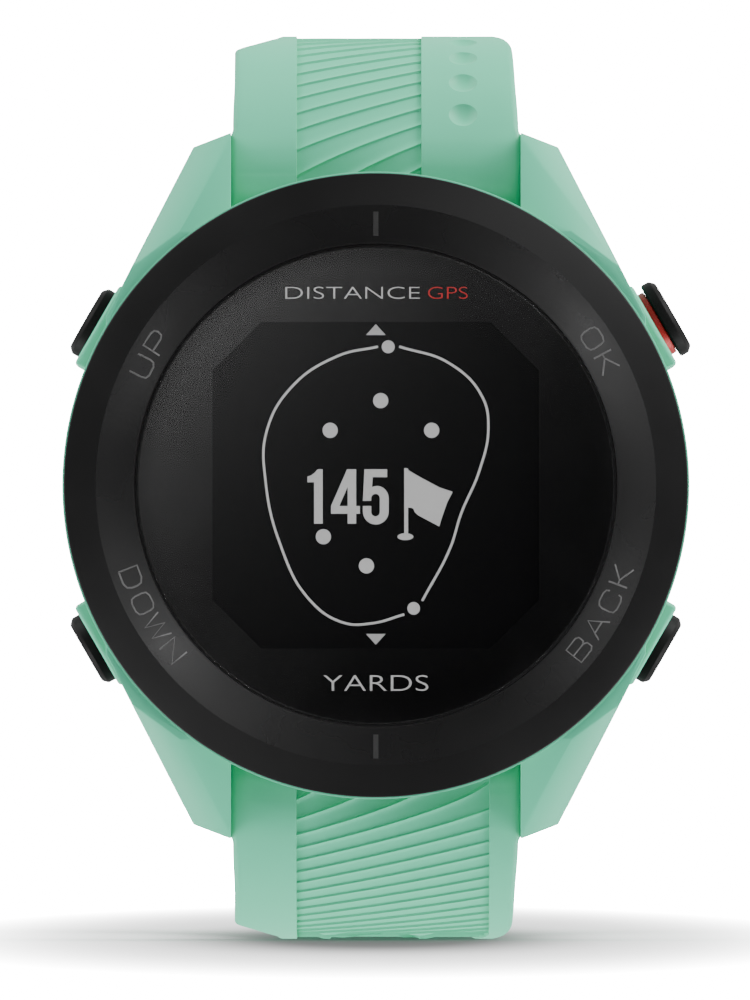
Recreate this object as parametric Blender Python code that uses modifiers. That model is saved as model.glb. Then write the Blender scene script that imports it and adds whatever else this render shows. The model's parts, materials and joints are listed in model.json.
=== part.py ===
"""Golf GPS watch with four push buttons, a round bezel and a two-piece silicone strap.

Row frame: +X to the wearer's 3 o'clock, +Z to 12 o'clock, the dial faces -Y.
The origin is the middle of the case back's flat face, the face that lies on the wrist.
Sizes below are millimetres; the helpers turn them into metres.
"""

import math

import bmesh
import bpy
from mathutils import Matrix, Vector

MM = 0.001

# ---- Driving dimensions --------------------------------------------------------------------
CASE_RADIUS = 21.85
THICKNESS = 11.5
LUG_GAP = 20.2
STRAP_WIDTH = 19.8
CLEARANCE = 0.1
ROUND = 48  # segments of the large turned pieces
SMALL_ROUND = 20  # segments of buttons, screws and rings

# Heights along the case's axis: the case back is 0 and the front is negative.
BEZEL_TOP = -THICKNESS
LENS_TOP = -THICKNESS + 0.5
LENS_THICKNESS = 1.0
RIM_TOP = -9.55
RIM_BOTTOM = -8.6
SHELF_BOTTOM = -8.75
CASE_BACK_RIM = -1.8

# Bezel, lens and the opening below them
BEZEL_RADIUS = CASE_RADIUS - 0.13
BEZEL_RIDGE_RADIUS = 19.5
LENS_RADIUS = 16.65
SHELF_OPENING = 14.9
CAVITY_RADIUS = 15.4
ANTENNA_INNER, ANTENNA_OUTER = 17.5, 18.7
GASKET_RADIUS = 16.15
GASKET_WIRE = 0.32

# Display: a square window with cut corners
WINDOW_HALF = 11.37
WINDOW_CUT = 3.38
PANEL_HALF = 12.0
PANEL_CUT = 3.7

# Lugs
LUG_TIP_Z = 24.65
LUG_CORNER = (12.74, 23.64)
LUG_BACK = -1.6

# Buttons stand 30 degrees above and below the 3 to 9 o'clock line.
BUTTON_ANGLES = {"ok": 30.0, "up": 150.0, "down": 210.0, "back": 330.0}
BUTTON_HEIGHT = -5.4
BOSS_FACE = 22.45
BOSS_HALF = 3.2
BUTTON_FACE = 23.35
OK_BUTTON_FACE = 23.95
COUNTERBORE_FLOOR = 21.3
STEM_RADIUS = 0.9
STEM_END = 14.98

# Strap: its middle line leaves the bar, turns over the wrist's edge and then bends gently.
BAR_Y, BAR_Z = -4.2, 20.9
BAR_RADIUS = 0.75
BARREL_RADIUS = 1.9
START_HEADING = math.radians(10.3)  # from +Z towards +Y
EDGE_BEND = 11.7
UPPER_BEND, LOWER_BEND = 65.0, 120.0
UPPER_LENGTH, LOWER_LENGTH = 72.0, 118.0
STRAP_THICKNESS = 2.4
# Distance along the strap, edge to the left, edge to the right, thickness
STRAP_SECTIONS = [
    (0.0, 9.9, 9.9, 3.6),
    (3.0, 9.9, 9.9, 3.3),
    (8.0, 9.9, 9.75, 2.7),
    (11.6, 9.9, 9.6, 2.5),
    (12.4, 8.85, 9.55, 2.48),
    (13.1, 8.15, 9.45, 2.45),
    (14.2, 7.3, 9.2, 2.4),
    (15.4, 6.9, 8.7, 2.4),
    (17.5, 7.0, 8.4, 2.4),
    (24.0, 7.3, 7.9, 2.4),
    (32.0, 7.4, 7.6, 2.4),
    (200.0, 7.4, 7.6, 2.4),
]
HOLE_HALF_WIDTH, HOLE_HALF_LENGTH = 3.25, 1.25
FIRST_HOLE, HOLE_PITCH, HOLE_COUNT = 15.7, 8.4, 11

# Buckle, on a pin at the end of the upper strap
BUCKLE_PIN_RADIUS = 0.6
KNUCKLE_RADIUS = 1.35
BUCKLE_INNER_HALF = 8.4
BUCKLE_BAR = 1.9
BUCKLE_REACH = 10.6  # from the pin to the far bar's middle
BUCKLE_THICKNESS = 2.0
TANG_HALF_WIDTH = 2.6
TANG_THICKNESS = 1.0
TANG_SLOT_HALF = 3.1
KEEPER_LENGTH = 5.0
KEEPER_WALL = 1.3
FIXED_KEEPER_AT = UPPER_LENGTH - 12.5
SLIDING_KEEPER_AT = UPPER_LENGTH - 27.0
KEEPER_ROOM = 4.95  # the strap and the tail together

# Screws and charging contacts of the back cover
SCREW_ANGLES = (55.0, 125.0, 235.0, 305.0)
SCREW_RADIUS_AT = 17.6
CONTACT_Z = -9.5
CONTACT_PITCH = 1.8

MINT = (0.27, 0.52, 0.41, 1.0)
BLACK = (0.015, 0.015, 0.016, 1.0)
DARK_GREY = (0.05, 0.05, 0.055, 1.0)
RED = (0.55, 0.01, 0.01, 1.0)
STEEL = (0.35, 0.35, 0.36, 1.0)
GOLD = (0.8, 0.6, 0.25, 1.0)
BOARD_GREEN = (0.02, 0.16, 0.08, 1.0)
SILVER = (0.6, 0.6, 0.62, 1.0)
RUBBER_BLACK = (0.02, 0.02, 0.02, 1.0)


# ---- Helpers -------------------------------------------------------------------------------
def clear_scene():
    for obj in list(bpy.data.objects):
        bpy.data.objects.remove(obj)


def new_collection(name):
    collection = bpy.data.collections.new(name)
    bpy.context.scene.collection.children.link(collection)
    return collection


def material(name, colour, roughness, metallic=0.0):
    made = bpy.data.materials.new(name)
    made.use_nodes = True
    shader = made.node_tree.nodes["Principled BSDF"]
    shader.inputs["Base Color"].default_value = colour
    shader.inputs["Roughness"].default_value = roughness
    shader.inputs["Metallic"].default_value = metallic
    return made


def new_object(name, data):
    obj = bpy.data.objects.new(name, data)
    WATCH.objects.link(obj)
    return obj


def freeze(obj):
    """Replaces the object's data with its evaluated mesh, welded and facing out."""
    bpy.context.view_layer.update()
    evaluated = obj.evaluated_get(bpy.context.evaluated_depsgraph_get())
    mesh = bpy.data.meshes.new_from_object(evaluated)
    bm = bmesh.new()
    bm.from_mesh(mesh)
    bmesh.ops.remove_doubles(bm, verts=bm.verts, dist=0.002 * MM)
    bmesh.ops.recalc_face_normals(bm, faces=bm.faces)
    bm.to_mesh(mesh)
    bm.free()
    if obj.type == "MESH":
        obj.modifiers.clear()
        obj.data = mesh
        return obj
    frozen = new_object("frozen", mesh)
    frozen.matrix_world = obj.matrix_world
    name = obj.name
    bpy.data.objects.remove(obj)
    frozen.name = name
    return frozen


def settle(obj):
    """Moves the object's place into its mesh, so that pieces can be joined in one frame."""
    bpy.context.view_layer.update()
    obj.data.transform(obj.matrix_world)
    obj.matrix_world = Matrix.Identity(4)
    return obj


def place(obj, location=(0, 0, 0), rotation=(0, 0, 0)):
    obj.location = Vector(location) * MM
    obj.rotation_euler = [math.radians(a) for a in rotation]
    return obj


def boolean(target, tool, operation):
    modifier = target.modifiers.new(operation.title(), "BOOLEAN")
    modifier.operation = operation
    modifier.solver = "EXACT"
    modifier.object = tool
    freeze(target)
    bpy.data.objects.remove(tool)
    return target


def cut(target, tool):
    return boolean(target, tool, "DIFFERENCE")


def join(target, other):
    return boolean(target, other, "UNION")


def turned(name, profile, segments=ROUND):
    """Turns a profile of (radius, height) about Z. A profile that touches the axis is left open there."""
    closed = min(r for r, _ in profile) > 0
    mesh = bpy.data.meshes.new(name)
    points = [(r * MM, 0, h * MM) for r, h in profile]
    edges = [(i, i + 1) for i in range(len(points) - 1)]
    if closed:
        edges.append((len(points) - 1, 0))
    mesh.from_pydata(points, edges, [])
    obj = new_object(name, mesh)
    screw = obj.modifiers.new("Screw", "SCREW")
    screw.axis = "Z"
    screw.steps = screw.render_steps = segments
    screw.use_merge_vertices = True
    screw.merge_threshold = 0.005 * MM
    return freeze(obj)


def on_case_axis(obj):
    """Lays a turned piece along the case's axis, so that its height is the row's Y."""
    return place(obj, rotation=(-90, 0, 0))


def along_button(obj, angle):
    """Lays a turned piece along a button's axis, so that its height is the distance from the centre."""
    return place(obj, (0, BUTTON_HEIGHT, 0), (0, 90 - angle, 0))


def box(name, low, high):
    bm = bmesh.new()
    size = Vector(high) - Vector(low)
    middle = (Vector(high) + Vector(low)) / 2
    where = Matrix.Translation(middle * MM) @ Matrix.Diagonal((*(size * MM), 1))
    bmesh.ops.create_cube(bm, size=1, matrix=where)
    mesh = bpy.data.meshes.new(name)
    bm.to_mesh(mesh)
    bm.free()
    return new_object(name, mesh)


def cylinder(name, radius, start, end, segments=SMALL_ROUND):
    """A cylinder between two points."""
    a, b = Vector(start) * MM, Vector(end) * MM
    turn = (b - a).to_track_quat("Z", "Y").to_matrix().to_4x4()
    bm = bmesh.new()
    bmesh.ops.create_cone(
        bm,
        cap_ends=True,
        segments=segments,
        radius1=radius * MM,
        radius2=radius * MM,
        depth=(b - a).length,
        matrix=Matrix.Translation((a + b) / 2) @ turn,
    )
    mesh = bpy.data.meshes.new(name)
    bm.to_mesh(mesh)
    bm.free()
    return new_object(name, mesh)


def plate(name, outline, front, back):
    """A flat outline in X and Z, given its thickness along Y."""
    curve = bpy.data.curves.new(name, "CURVE")
    curve.dimensions = "2D"
    curve.fill_mode = "BOTH"
    curve.extrude = (back - front) / 2 * MM
    spline = curve.splines.new("POLY")
    spline.points.add(len(outline) - 1)
    for point, (x, z) in zip(spline.points, outline):
        point.co = (x * MM, z * MM, 0, 1)
    spline.use_cyclic_u = True
    obj = new_object(name, curve)
    place(obj, (0, (front + back) / 2, 0), (90, 0, 0))
    return settle(freeze(obj))


def ring(name, radius, wire, segments, sides):
    """An O-ring: a small circle turned about Z."""
    circle = [
        (radius + wire * math.cos(a), wire * math.sin(a))
        for a in (2 * math.pi * i / sides for i in range(sides))
    ]
    return turned(name, circle, segments)


def slice_off(obj, point, normal):
    """Cuts away what lies beyond a plane and closes the cut."""
    bm = bmesh.new()
    bm.from_mesh(obj.data)
    kept = bmesh.ops.bisect_plane(
        bm,
        geom=bm.verts[:] + bm.edges[:] + bm.faces[:],
        plane_co=Vector(point) * MM,
        plane_no=Vector(normal),
        clear_outer=True,
    )
    rim = [e for e in kept["geom_cut"] if isinstance(e, bmesh.types.BMEdge)]
    bmesh.ops.edgeloop_fill(bm, edges=rim)
    bmesh.ops.recalc_face_normals(bm, faces=bm.faces)
    bm.to_mesh(obj.data)
    bm.free()
    return obj


def mirrored(obj, x_sign, z_sign):
    """The same solid reflected across X = 0 or Z = 0."""
    obj.data.transform(Matrix.Diagonal((x_sign, 1, z_sign, 1)))
    if x_sign * z_sign < 0:
        obj.data.flip_normals()
    return obj


def finish(obj, name, look, smooth=30):
    obj.name = name
    obj.data.name = name
    obj.data.materials.clear()
    obj.data.materials.append(look)
    obj.data.shade_smooth()
    obj.data.set_sharp_from_angle(angle=math.radians(smooth))
    return obj


# ---- The strap's middle line ----------------------------------------------------------------
def strap_station(s, bend):
    """(y, z, heading) of the middle line, from the bar, for the upper strap."""
    turn = math.pi / 2 - START_HEADING
    edge_length = turn * EDGE_BEND
    first = min(s, edge_length)
    heading = START_HEADING + first / EDGE_BEND
    y = EDGE_BEND * (math.cos(START_HEADING) - math.cos(heading))
    z = EDGE_BEND * (math.sin(heading) - math.sin(START_HEADING))
    rest = max(0.0, s - edge_length)
    y += bend * math.sin(rest / bend)
    z -= bend * (1 - math.cos(rest / bend))
    return y, z, heading + rest / bend


def strap_size(s):
    """(left edge, right edge, thickness) at a distance along the strap."""
    for (s0, *low), (s1, *high) in zip(STRAP_SECTIONS, STRAP_SECTIONS[1:]):
        if s <= s1:
            t = (s - s0) / (s1 - s0)
            return [a + (b - a) * t for a, b in zip(low, high)]
    return STRAP_SECTIONS[-1][1:]


def strap_frame(s, bend):
    """The matrix, in millimetres from the bar, that has Y along the strap and Z out of it."""
    y, z, heading = strap_station(s, bend)
    return Matrix.Translation((0, y, z)) @ Matrix.Rotation(
        math.pi / 2 - heading, 4, "X"
    )


def section(left, right, thickness):
    """A flat section with cut corners, round the middle line."""
    half, corner = thickness / 2, 0.35
    return [
        (-left + corner, -half),
        (right - corner, -half),
        (right, -half + corner),
        (right, half - corner),
        (right - corner, half),
        (-left + corner, half),
        (-left, half - corner),
        (-left, -half + corner),
    ]


def loft(name, rings):
    bm = bmesh.new()
    rows = [[bm.verts.new(p) for p in ring_points] for ring_points in rings]
    count = len(rows[0])
    for low, high in zip(rows, rows[1:]):
        for i in range(count):
            j = (i + 1) % count
            bm.faces.new((low[i], low[j], high[j], high[i]))
    bm.faces.new(rows[0])
    bm.faces.new(rows[-1])
    bmesh.ops.recalc_face_normals(bm, faces=bm.faces)
    mesh = bpy.data.meshes.new(name)
    bm.to_mesh(mesh)
    bm.free()
    return new_object(name, mesh)


def strap_blank(name, bend, length, nose):
    """The strap's solid from the bar to its end, in its own frame. nose rounds the free end."""
    stops = [1.6 * i for i in range(12)]
    stops += [19.5 + (length - nose - 19.5) * i / 13 for i in range(14)]
    stops += [length - nose + nose * math.sin(math.pi / 2 * i / 5) for i in range(1, 6)] if nose else []
    rings = []
    for s in stops:
        left, right, thickness = strap_size(s)
        if nose and s > length - nose:
            shrink = math.sqrt(max(0.02, 1 - ((s - length + nose) / nose) ** 2))
            left, right = left * shrink, right * shrink
        frame = strap_frame(s, bend)
        rings.append([frame @ Vector((x, 0, h)) * MM for x, h in section(left, right, thickness)])
    blank = loft(name, rings)
    half = STRAP_WIDTH / 2 - 0.02
    return join(blank, cylinder("barrel", BARREL_RADIUS, (-half, 0, 0), (half, 0, 0), 28))


def place_on_strap(obj, s, bend):
    """Puts a piece, made in a station's own frame, onto the upper strap."""
    obj.matrix_world = Matrix.Translation((0, BAR_Y * MM, BAR_Z * MM)) @ scaled(strap_frame(s, bend))
    return obj


def scaled(frame):
    """The same matrix with its translation in metres."""
    made = frame.copy()
    made.translation = frame.translation * MM
    return made


# ---- Case ----------------------------------------------------------------------------------
def make_lug():
    """The upper right lug: a prism cut by two sloping facets."""
    inner = LUG_GAP / 2
    outline = [
        (inner, 16.3),
        (inner, LUG_TIP_Z),
        LUG_CORNER,
        (18.3, 12.7),
        (17.3, 8.6),
        (13.9, 13.6),
    ]
    lug = plate("lug", outline, RIM_TOP + 0.1, LUG_BACK)
    slice_off(lug, (0, -6.4, LUG_TIP_Z), (0, -1, 0.436))
    crease_start = Vector((10.2, -6.75, 23.85))
    crease = Vector((13.9, -9.6, 17.3)) - crease_start
    outward = Vector((0.871, 0.84, 0.492))
    facet = crease.cross(outward)
    slice_off(lug, crease_start, facet if facet.y < 0 else -facet)
    return lug


def make_boss(angle):
    """The flat seat that a button sits in."""
    boss = box("boss", (-BOSS_HALF, -3.1, 17.0), (BOSS_HALF, 3.0, BOSS_FACE))
    bevel = boss.modifiers.new("Bevel", "BEVEL")
    bevel.width = 0.3 * MM
    bevel.segments = 1
    return settle(along_button(freeze(boss), angle))


def make_button_bore(angle):
    bore = turned(
        "bore",
        [
            (0, 14.0),
            (1.0, 14.0),
            (1.0, 20.1),
            (1.75, 20.1),
            (1.75, COUNTERBORE_FLOOR),
            (2.75, COUNTERBORE_FLOOR),
            (2.75, 25.0),
            (0, 25.0),
        ],
        SMALL_ROUND,
    )
    return settle(along_button(bore, angle))


def make_case(look):
    profile = [
        (SHELF_OPENING, RIM_TOP),
        (ANTENNA_INNER - CLEARANCE, RIM_TOP),
        (ANTENNA_INNER - CLEARANCE, RIM_TOP + 0.5),
        (ANTENNA_OUTER + CLEARANCE, RIM_TOP + 0.5),
        (ANTENNA_OUTER + CLEARANCE, RIM_TOP),
        (CASE_RADIUS - 0.15, RIM_TOP),
        (CASE_RADIUS, RIM_TOP + 0.15),
        (CASE_RADIUS, RIM_BOTTOM),
        (CASE_RADIUS - 0.5, RIM_BOTTOM + 0.3),
        (CASE_RADIUS - 1.1, -3.8),
        (19.9, CASE_BACK_RIM),
        (GASKET_RADIUS + 0.42, CASE_BACK_RIM),
        (GASKET_RADIUS + 0.42, CASE_BACK_RIM - 0.6),
        (GASKET_RADIUS - 0.42, CASE_BACK_RIM - 0.6),
        (GASKET_RADIUS - 0.42, CASE_BACK_RIM),
        (CAVITY_RADIUS, CASE_BACK_RIM),
        (CAVITY_RADIUS, SHELF_BOTTOM),
        (SHELF_OPENING, SHELF_BOTTOM),
    ]
    case = settle(on_case_axis(turned("case", profile)))
    for x_sign in (1, -1):
        for z_sign in (1, -1):
            join(case, mirrored(make_lug(), x_sign, z_sign))
    for angle in BUTTON_ANGLES.values():
        join(case, make_boss(angle))
    half = LUG_GAP / 2
    for low, high in ((18.6, 27.0), (-27.0, -18.6)):
        cut(case, box("strap_pocket", (-half, RIM_BOTTOM, low), (half, 3.0, high)))
    for angle in BUTTON_ANGLES.values():
        cut(case, make_button_bore(angle))
    for z in (BAR_Z, -BAR_Z):
        cut(case, cylinder("bar_hole", 0.52, (-11.4, BAR_Y, z), (11.4, BAR_Y, z), 12))
    for angle in SCREW_ANGLES:
        x, z = screw_place(angle)
        cut(case, cylinder("screw_hole", 0.66, (x, -6.2, z), (x, 0, z), 12))
    return finish(case, "case", look)


def screw_place(angle):
    a = math.radians(angle)
    return SCREW_RADIUS_AT * math.cos(a), SCREW_RADIUS_AT * math.sin(a)


def make_bezel(look):
    profile = [
        (LENS_RADIUS + CLEARANCE, RIM_TOP - 0.05),
        (LENS_RADIUS + CLEARANCE, LENS_TOP + 0.1),
        (LENS_RADIUS + 0.25, LENS_TOP - 0.05),
        (BEZEL_RIDGE_RADIUS, BEZEL_TOP),
        (BEZEL_RADIUS - 0.3, BEZEL_TOP + 0.75),
        (BEZEL_RADIUS, BEZEL_TOP + 1.0),
        (BEZEL_RADIUS, RIM_TOP - 0.05),
    ]
    return finish(on_case_axis(turned("bezel", profile)), "bezel_ring", look)


def make_front_stack(looks):
    """Lens, its gasket, the display stack and the antenna, from the front inwards."""
    lens = turned(
        "lens",
        [
            (0, LENS_TOP + LENS_THICKNESS),
            (LENS_RADIUS, LENS_TOP + LENS_THICKNESS),
            (LENS_RADIUS, LENS_TOP + 0.2),
            (LENS_RADIUS - 0.2, LENS_TOP),
            (0, LENS_TOP),
        ],
    )
    finish(on_case_axis(lens), "cover_lens", looks["glass"])
    gasket = turned(
        "gasket",
        [(15.1, -9.95), (15.1, -9.6), (16.5, -9.6), (16.5, -9.95)],
    )
    finish(on_case_axis(gasket), "lens_gasket", looks["rubber"])
    antenna = turned(
        "antenna",
        [
            (ANTENNA_INNER, RIM_TOP + 0.02),
            (ANTENNA_INNER, RIM_TOP + 0.42),
            (ANTENNA_OUTER, RIM_TOP + 0.42),
            (ANTENNA_OUTER, RIM_TOP + 0.02),
        ],
    )
    finish(on_case_axis(antenna), "gps_antenna", looks["gold"])
    mask = turned("mask", [(0, -9.9), (14.7, -9.9), (14.7, -9.5), (0, -9.5)])
    settle(on_case_axis(mask))
    cut(mask, plate("window", cut_square(WINDOW_HALF, WINDOW_CUT), -10.5, -9.0))
    finish(mask, "display_frame", looks["black"])
    outline = cut_square(PANEL_HALF, PANEL_CUT)
    finish(plate("panel", outline, -9.45, -8.35), "display_panel", looks["screen"])
    finish(plate("guide", outline, -8.25, -7.75), "light_guide", looks["clear"])


def cut_square(half, corner):
    """A square with its four corners cut off."""
    near = half - corner
    return [
        (half, -near),
        (half, near),
        (near, half),
        (-near, half),
        (-half, near),
        (-half, -near),
        (-near, -half),
        (near, -half),
    ]


def make_electronics(looks):
    chassis = turned("chassis", [(0, -7.65), (14.8, -7.65), (14.8, -7.05), (0, -7.05)], 40)
    finish(on_case_axis(chassis), "inner_chassis", looks["dark"])
    board = turned("board", [(0, -6.95), (14.6, -6.95), (14.6, -6.25), (0, -6.25)], 40)
    finish(on_case_axis(board), "main_board", looks["board"])
    finish(box("shield", (-9.0, -6.2, 1.0), (0.5, -5.35, 8.6)), "gps_receiver_shield", looks["silver"])
    finish(box("chip", (2.0, -6.2, 1.6), (8.2, -5.4, 7.8)), "processor_chip", looks["dark"])
    battery = box("battery", (-9.5, -5.2, -8.6), (9.5, -2.3, 8.6))
    bevel = battery.modifiers.new("Bevel", "BEVEL")
    bevel.width = 0.8 * MM
    bevel.segments = 2
    finish(freeze(battery), "battery_cell", looks["silver"])


def make_back(looks):
    cover = turned(
        "cover",
        [
            (0, CASE_BACK_RIM + 0.05),
            (19.0, CASE_BACK_RIM + 0.05),
            (19.0, -1.1),
            (17.0, -0.25),
            (15.6, 0),
            (0, 0),
        ],
    )
    settle(on_case_axis(cover))
    for angle in SCREW_ANGLES:
        x, z = screw_place(angle)
        cut(cover, cylinder("clearance", 0.75, (x, -3, z), (x, 1, z), 12))
        cut(cover, cylinder("counterbore", 1.45, (x, -1.25, z), (x, 1, z), 16))
    half_row = CONTACT_PITCH * 2 + 0.5
    cut(cover, box("socket", (-half_row, -1.1, CONTACT_Z - 1.9), (half_row, 1, CONTACT_Z + 1.9)))
    contacts = [(i - 1.5) * CONTACT_PITCH for i in range(4)]
    for x in contacts:
        cut(cover, cylinder("hole", 0.5, (x, -3, CONTACT_Z), (x, 1, CONTACT_Z), 12))
    finish(cover, "back_cover", looks["dark"])
    for number, x in enumerate(contacts, 1):
        pin = cylinder("pin", 0.42, (x, -2.15, CONTACT_Z), (x, -0.85, CONTACT_Z), 12)
        finish(pin, f"charge_contact_{number}", looks["gold"])
    gasket = place(ring("seal", GASKET_RADIUS, GASKET_WIRE, 40, 5), (0, -2.08, 0), (-90, 0, 0))
    finish(gasket, "back_gasket", looks["rubber"])
    for number, angle in enumerate(SCREW_ANGLES, 1):
        make_screw(number, angle, looks["steel"])


def make_screw(number, angle, look):
    screw = turned(
        "screw",
        [(0, -6.0), (0.6, -6.0), (0.6, -1.2), (1.3, -1.2), (1.3, -0.55), (1.1, -0.45), (0, -0.45)],
        16,
    )
    cut(screw, box("slot", (-1.6, -0.2, -0.8), (1.6, 0.2, 0.2)))
    x, z = screw_place(angle)
    place(screw, (x, 0, z), (-90, 0, 0))
    finish(screw, f"back_screw_{number}", look)


# ---- Buttons -------------------------------------------------------------------------------
def make_button(name, angle, looks):
    if name == "ok":
        profile = [
            (0, STEM_END),
            (STEM_RADIUS, STEM_END),
            (STEM_RADIUS, 22.95),
            (2.84, 22.95),
            (2.84, 23.6),
            (2.5, OK_BUTTON_FACE),
            (0, OK_BUTTON_FACE),
        ]
    else:
        profile = [
            (0, STEM_END),
            (STEM_RADIUS, STEM_END),
            (STEM_RADIUS, 22.0),
            (2.6, 22.0),
            (2.6, BUTTON_FACE - 0.4),
            (2.2, BUTTON_FACE),
            (0, BUTTON_FACE),
        ]
    button = along_button(turned("button", profile, 28), angle)
    finish(button, f"{name}_button", looks["black"])
    if name == "ok":
        collar = turned("collar", [(1.0, 22.0), (2.4, 22.0), (2.4, 22.9), (1.0, 22.9)], 28)
        finish(along_button(collar, angle), "ok_button_collar", looks["red"])
    seal = ring("seal", 1.33, 0.36, 16, 5)
    settle(seal).data.transform(Matrix.Translation((0, 0, 20.7 * MM)))
    finish(along_button(seal, angle), f"{name}_button_seal", looks["rubber"])
    clip = turned("clip", [(0.97, 15.05), (1.5, 15.05), (1.5, 15.25), (0.97, 15.25)], 16)
    finish(along_button(clip, angle), f"{name}_button_clip", looks["steel"])
    switch = box("switch", (-1.6, -0.75, 12.7), (1.6, 0.95, 14.2))
    join(switch, cylinder("nub", 0.5, (0, 0, 14.0), (0, 0, 14.5), 12))
    finish(along_button(switch, angle), f"{name}_switch", looks["silver"])


# ---- Strap ---------------------------------------------------------------------------------
def bar_bore():
    return cylinder("bar_bore", BAR_RADIUS + 0.1, (-12, 0, 0), (12, 0, 0), 20)


def lever_recess():
    """Room on the strap's inner face for the quick-release lever."""
    return box("recess", (4.4, 0.2, -1.05), (8.6, 4.0, 1.05))


def make_upper_strap(looks):
    strap = strap_blank("upper", UPPER_BEND, UPPER_LENGTH, 0)
    end = strap_frame(UPPER_LENGTH, UPPER_BEND)
    knuckle = cylinder("knuckle", KNUCKLE_RADIUS, (-7.35, 0, 0), (7.55, 0, 0), 20)
    knuckle.data.transform(scaled(end))
    join(strap, knuckle)
    pin_hole = cylinder("pin_hole", BUCKLE_PIN_RADIUS + 0.08, (-12, 0, 0), (12, 0, 0), 16)
    pin_hole.data.transform(scaled(end))
    cut(strap, pin_hole)
    slot = box("slot", (-TANG_SLOT_HALF, -4.2, -4), (TANG_SLOT_HALF, 4, 4))
    slot.data.transform(scaled(end))
    cut(strap, slot)
    cut(strap, bar_bore())
    cut(strap, lever_recess())
    place(strap, (0, BAR_Y, BAR_Z))
    finish(strap, "upper_strap", looks["mint"])


def make_lower_strap(looks):
    strap = strap_blank("lower", LOWER_BEND, LOWER_LENGTH, 7.0)
    for i in range(HOLE_COUNT):
        tool = box(
            "hole",
            (-HOLE_HALF_WIDTH, -HOLE_HALF_LENGTH, -3),
            (HOLE_HALF_WIDTH, HOLE_HALF_LENGTH, 3),
        )
        tool.data.transform(scaled(strap_frame(FIRST_HOLE + i * HOLE_PITCH, LOWER_BEND)))
        cut(strap, tool)
    cut(strap, bar_bore())
    cut(strap, lever_recess())
    mirrored(strap, 1, -1)
    place(strap, (0, BAR_Y, -BAR_Z))
    finish(strap, "lower_strap", looks["mint"])


def make_spring_bar(side, z_sign, look):
    """A hollow bar with a fixed tip on the left and a sliding tip with a lever on the right."""
    half = STRAP_WIDTH / 2 - 0.3
    tube = cylinder("tube", BAR_RADIUS, (-half, 0, 0), (half, 0, 0), 16)
    cut(tube, cylinder("bore", 0.52, (-12, 0, 0), (12, 0, 0), 12))
    cut(tube, box("slot", (5.0, 0, -0.42), (7.9, 2, 0.42)))
    tip = cylinder("tip", 0.44, (-11.1, 0, 0), (-4.0, 0, 0), 12)
    lever = cylinder("lever_pin", 0.44, (4.6, 0, 0), (11.1, 0, 0), 12)
    join(lever, cylinder("knob", 0.34, (7.4, 0, 0), (7.4, 1.75, 0), 10))
    where = (0, BAR_Y, BAR_Z * z_sign)
    finish(place(tube, where), f"{side}_spring_bar_tube", look)
    finish(place(tip, where), f"{side}_spring_bar_tip", look)
    finish(place(lever, where), f"{side}_quick_release_pin", look)


def make_keeper(name, s, look):
    """A square loop round the strap with room above it for the tail."""
    _, _, thickness = strap_size(s)
    low = -thickness / 2 - CLEARANCE
    high = low + KEEPER_ROOM
    inner = 7.75
    half = KEEPER_LENGTH / 2
    loop = box(
        "loop",
        (-inner - KEEPER_WALL, -half, low - KEEPER_WALL),
        (inner + KEEPER_WALL, half, high + KEEPER_WALL),
    )
    bevel = loop.modifiers.new("Bevel", "BEVEL")
    bevel.width = 0.5 * MM
    bevel.segments = 2
    freeze(loop)
    cut(loop, box("room", (-inner, -half - 1, low), (inner, half + 1, high)))
    return finish(place_on_strap(loop, s, UPPER_BEND), name, look)


def hang_from_bend_centre(keeper):
    """The sliding keeper travels round the centre of the upper strap's bend."""
    y, z, _ = strap_station((math.pi / 2 - START_HEADING) * EDGE_BEND, UPPER_BEND)
    centre = bpy.data.objects.new("upper_strap_bend_centre", None)
    WATCH.objects.link(centre)
    place(centre, (0, BAR_Y + y, BAR_Z + z - UPPER_BEND))
    world = keeper.matrix_world.copy()
    keeper.parent = centre
    bpy.context.view_layer.update()
    keeper.matrix_parent_inverse = centre.matrix_world.inverted()
    keeper.matrix_world = world


def make_buckle(looks):
    outer_half = BUCKLE_INNER_HALF + BUCKLE_BAR
    half = BUCKLE_THICKNESS / 2
    far = BUCKLE_REACH + BUCKLE_BAR / 2
    frame = box("frame", (-outer_half, -1.5, -half), (outer_half, far, half))
    bevel = frame.modifiers.new("Bevel", "BEVEL")
    bevel.width = 0.6 * MM
    bevel.segments = 2
    freeze(frame)
    window_end = BUCKLE_REACH - BUCKLE_BAR / 2
    cut(frame, box("window", (-BUCKLE_INNER_HALF, -3, -3), (BUCKLE_INNER_HALF, window_end, 3)))
    cut(frame, cylinder("hole", BUCKLE_PIN_RADIUS + 0.08, (-12, 0, 0), (12, 0, 0), 16))
    cut(frame, box("rest", (-3.0, window_end - 1, 0.45), (3.0, far + 1, 3)))
    finish(place_on_strap(frame, UPPER_LENGTH, UPPER_BEND), "strap_buckle", looks["gunmetal"])
    pin = cylinder("pin", BUCKLE_PIN_RADIUS, (-10.1, 0, 0), (10.1, 0, 0), 16)
    finish(place_on_strap(pin, UPPER_LENGTH, UPPER_BEND), "buckle_pin", looks["steel"])
    finish(place_on_strap(make_tang(), UPPER_LENGTH, UPPER_BEND), "buckle_tang", looks["gunmetal"])


def make_tang():
    """An eye round the pin and a flat tongue whose tip rests on the far bar."""
    width = TANG_HALF_WIDTH
    tang = cylinder("eye", 1.3, (-width, 0, 0), (width, 0, 0), 20)
    bottom = 0.5
    tongue = box("tongue", (-width, 0.2, bottom), (width, 11.6, bottom + TANG_THICKNESS))
    bevel = tongue.modifiers.new("Bevel", "BEVEL")
    bevel.width = 0.25 * MM
    bevel.segments = 1
    join(tang, freeze(tongue))
    return cut(tang, cylinder("eye_hole", BUCKLE_PIN_RADIUS + 0.08, (-5, 0, 0), (5, 0, 0), 16))


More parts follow.
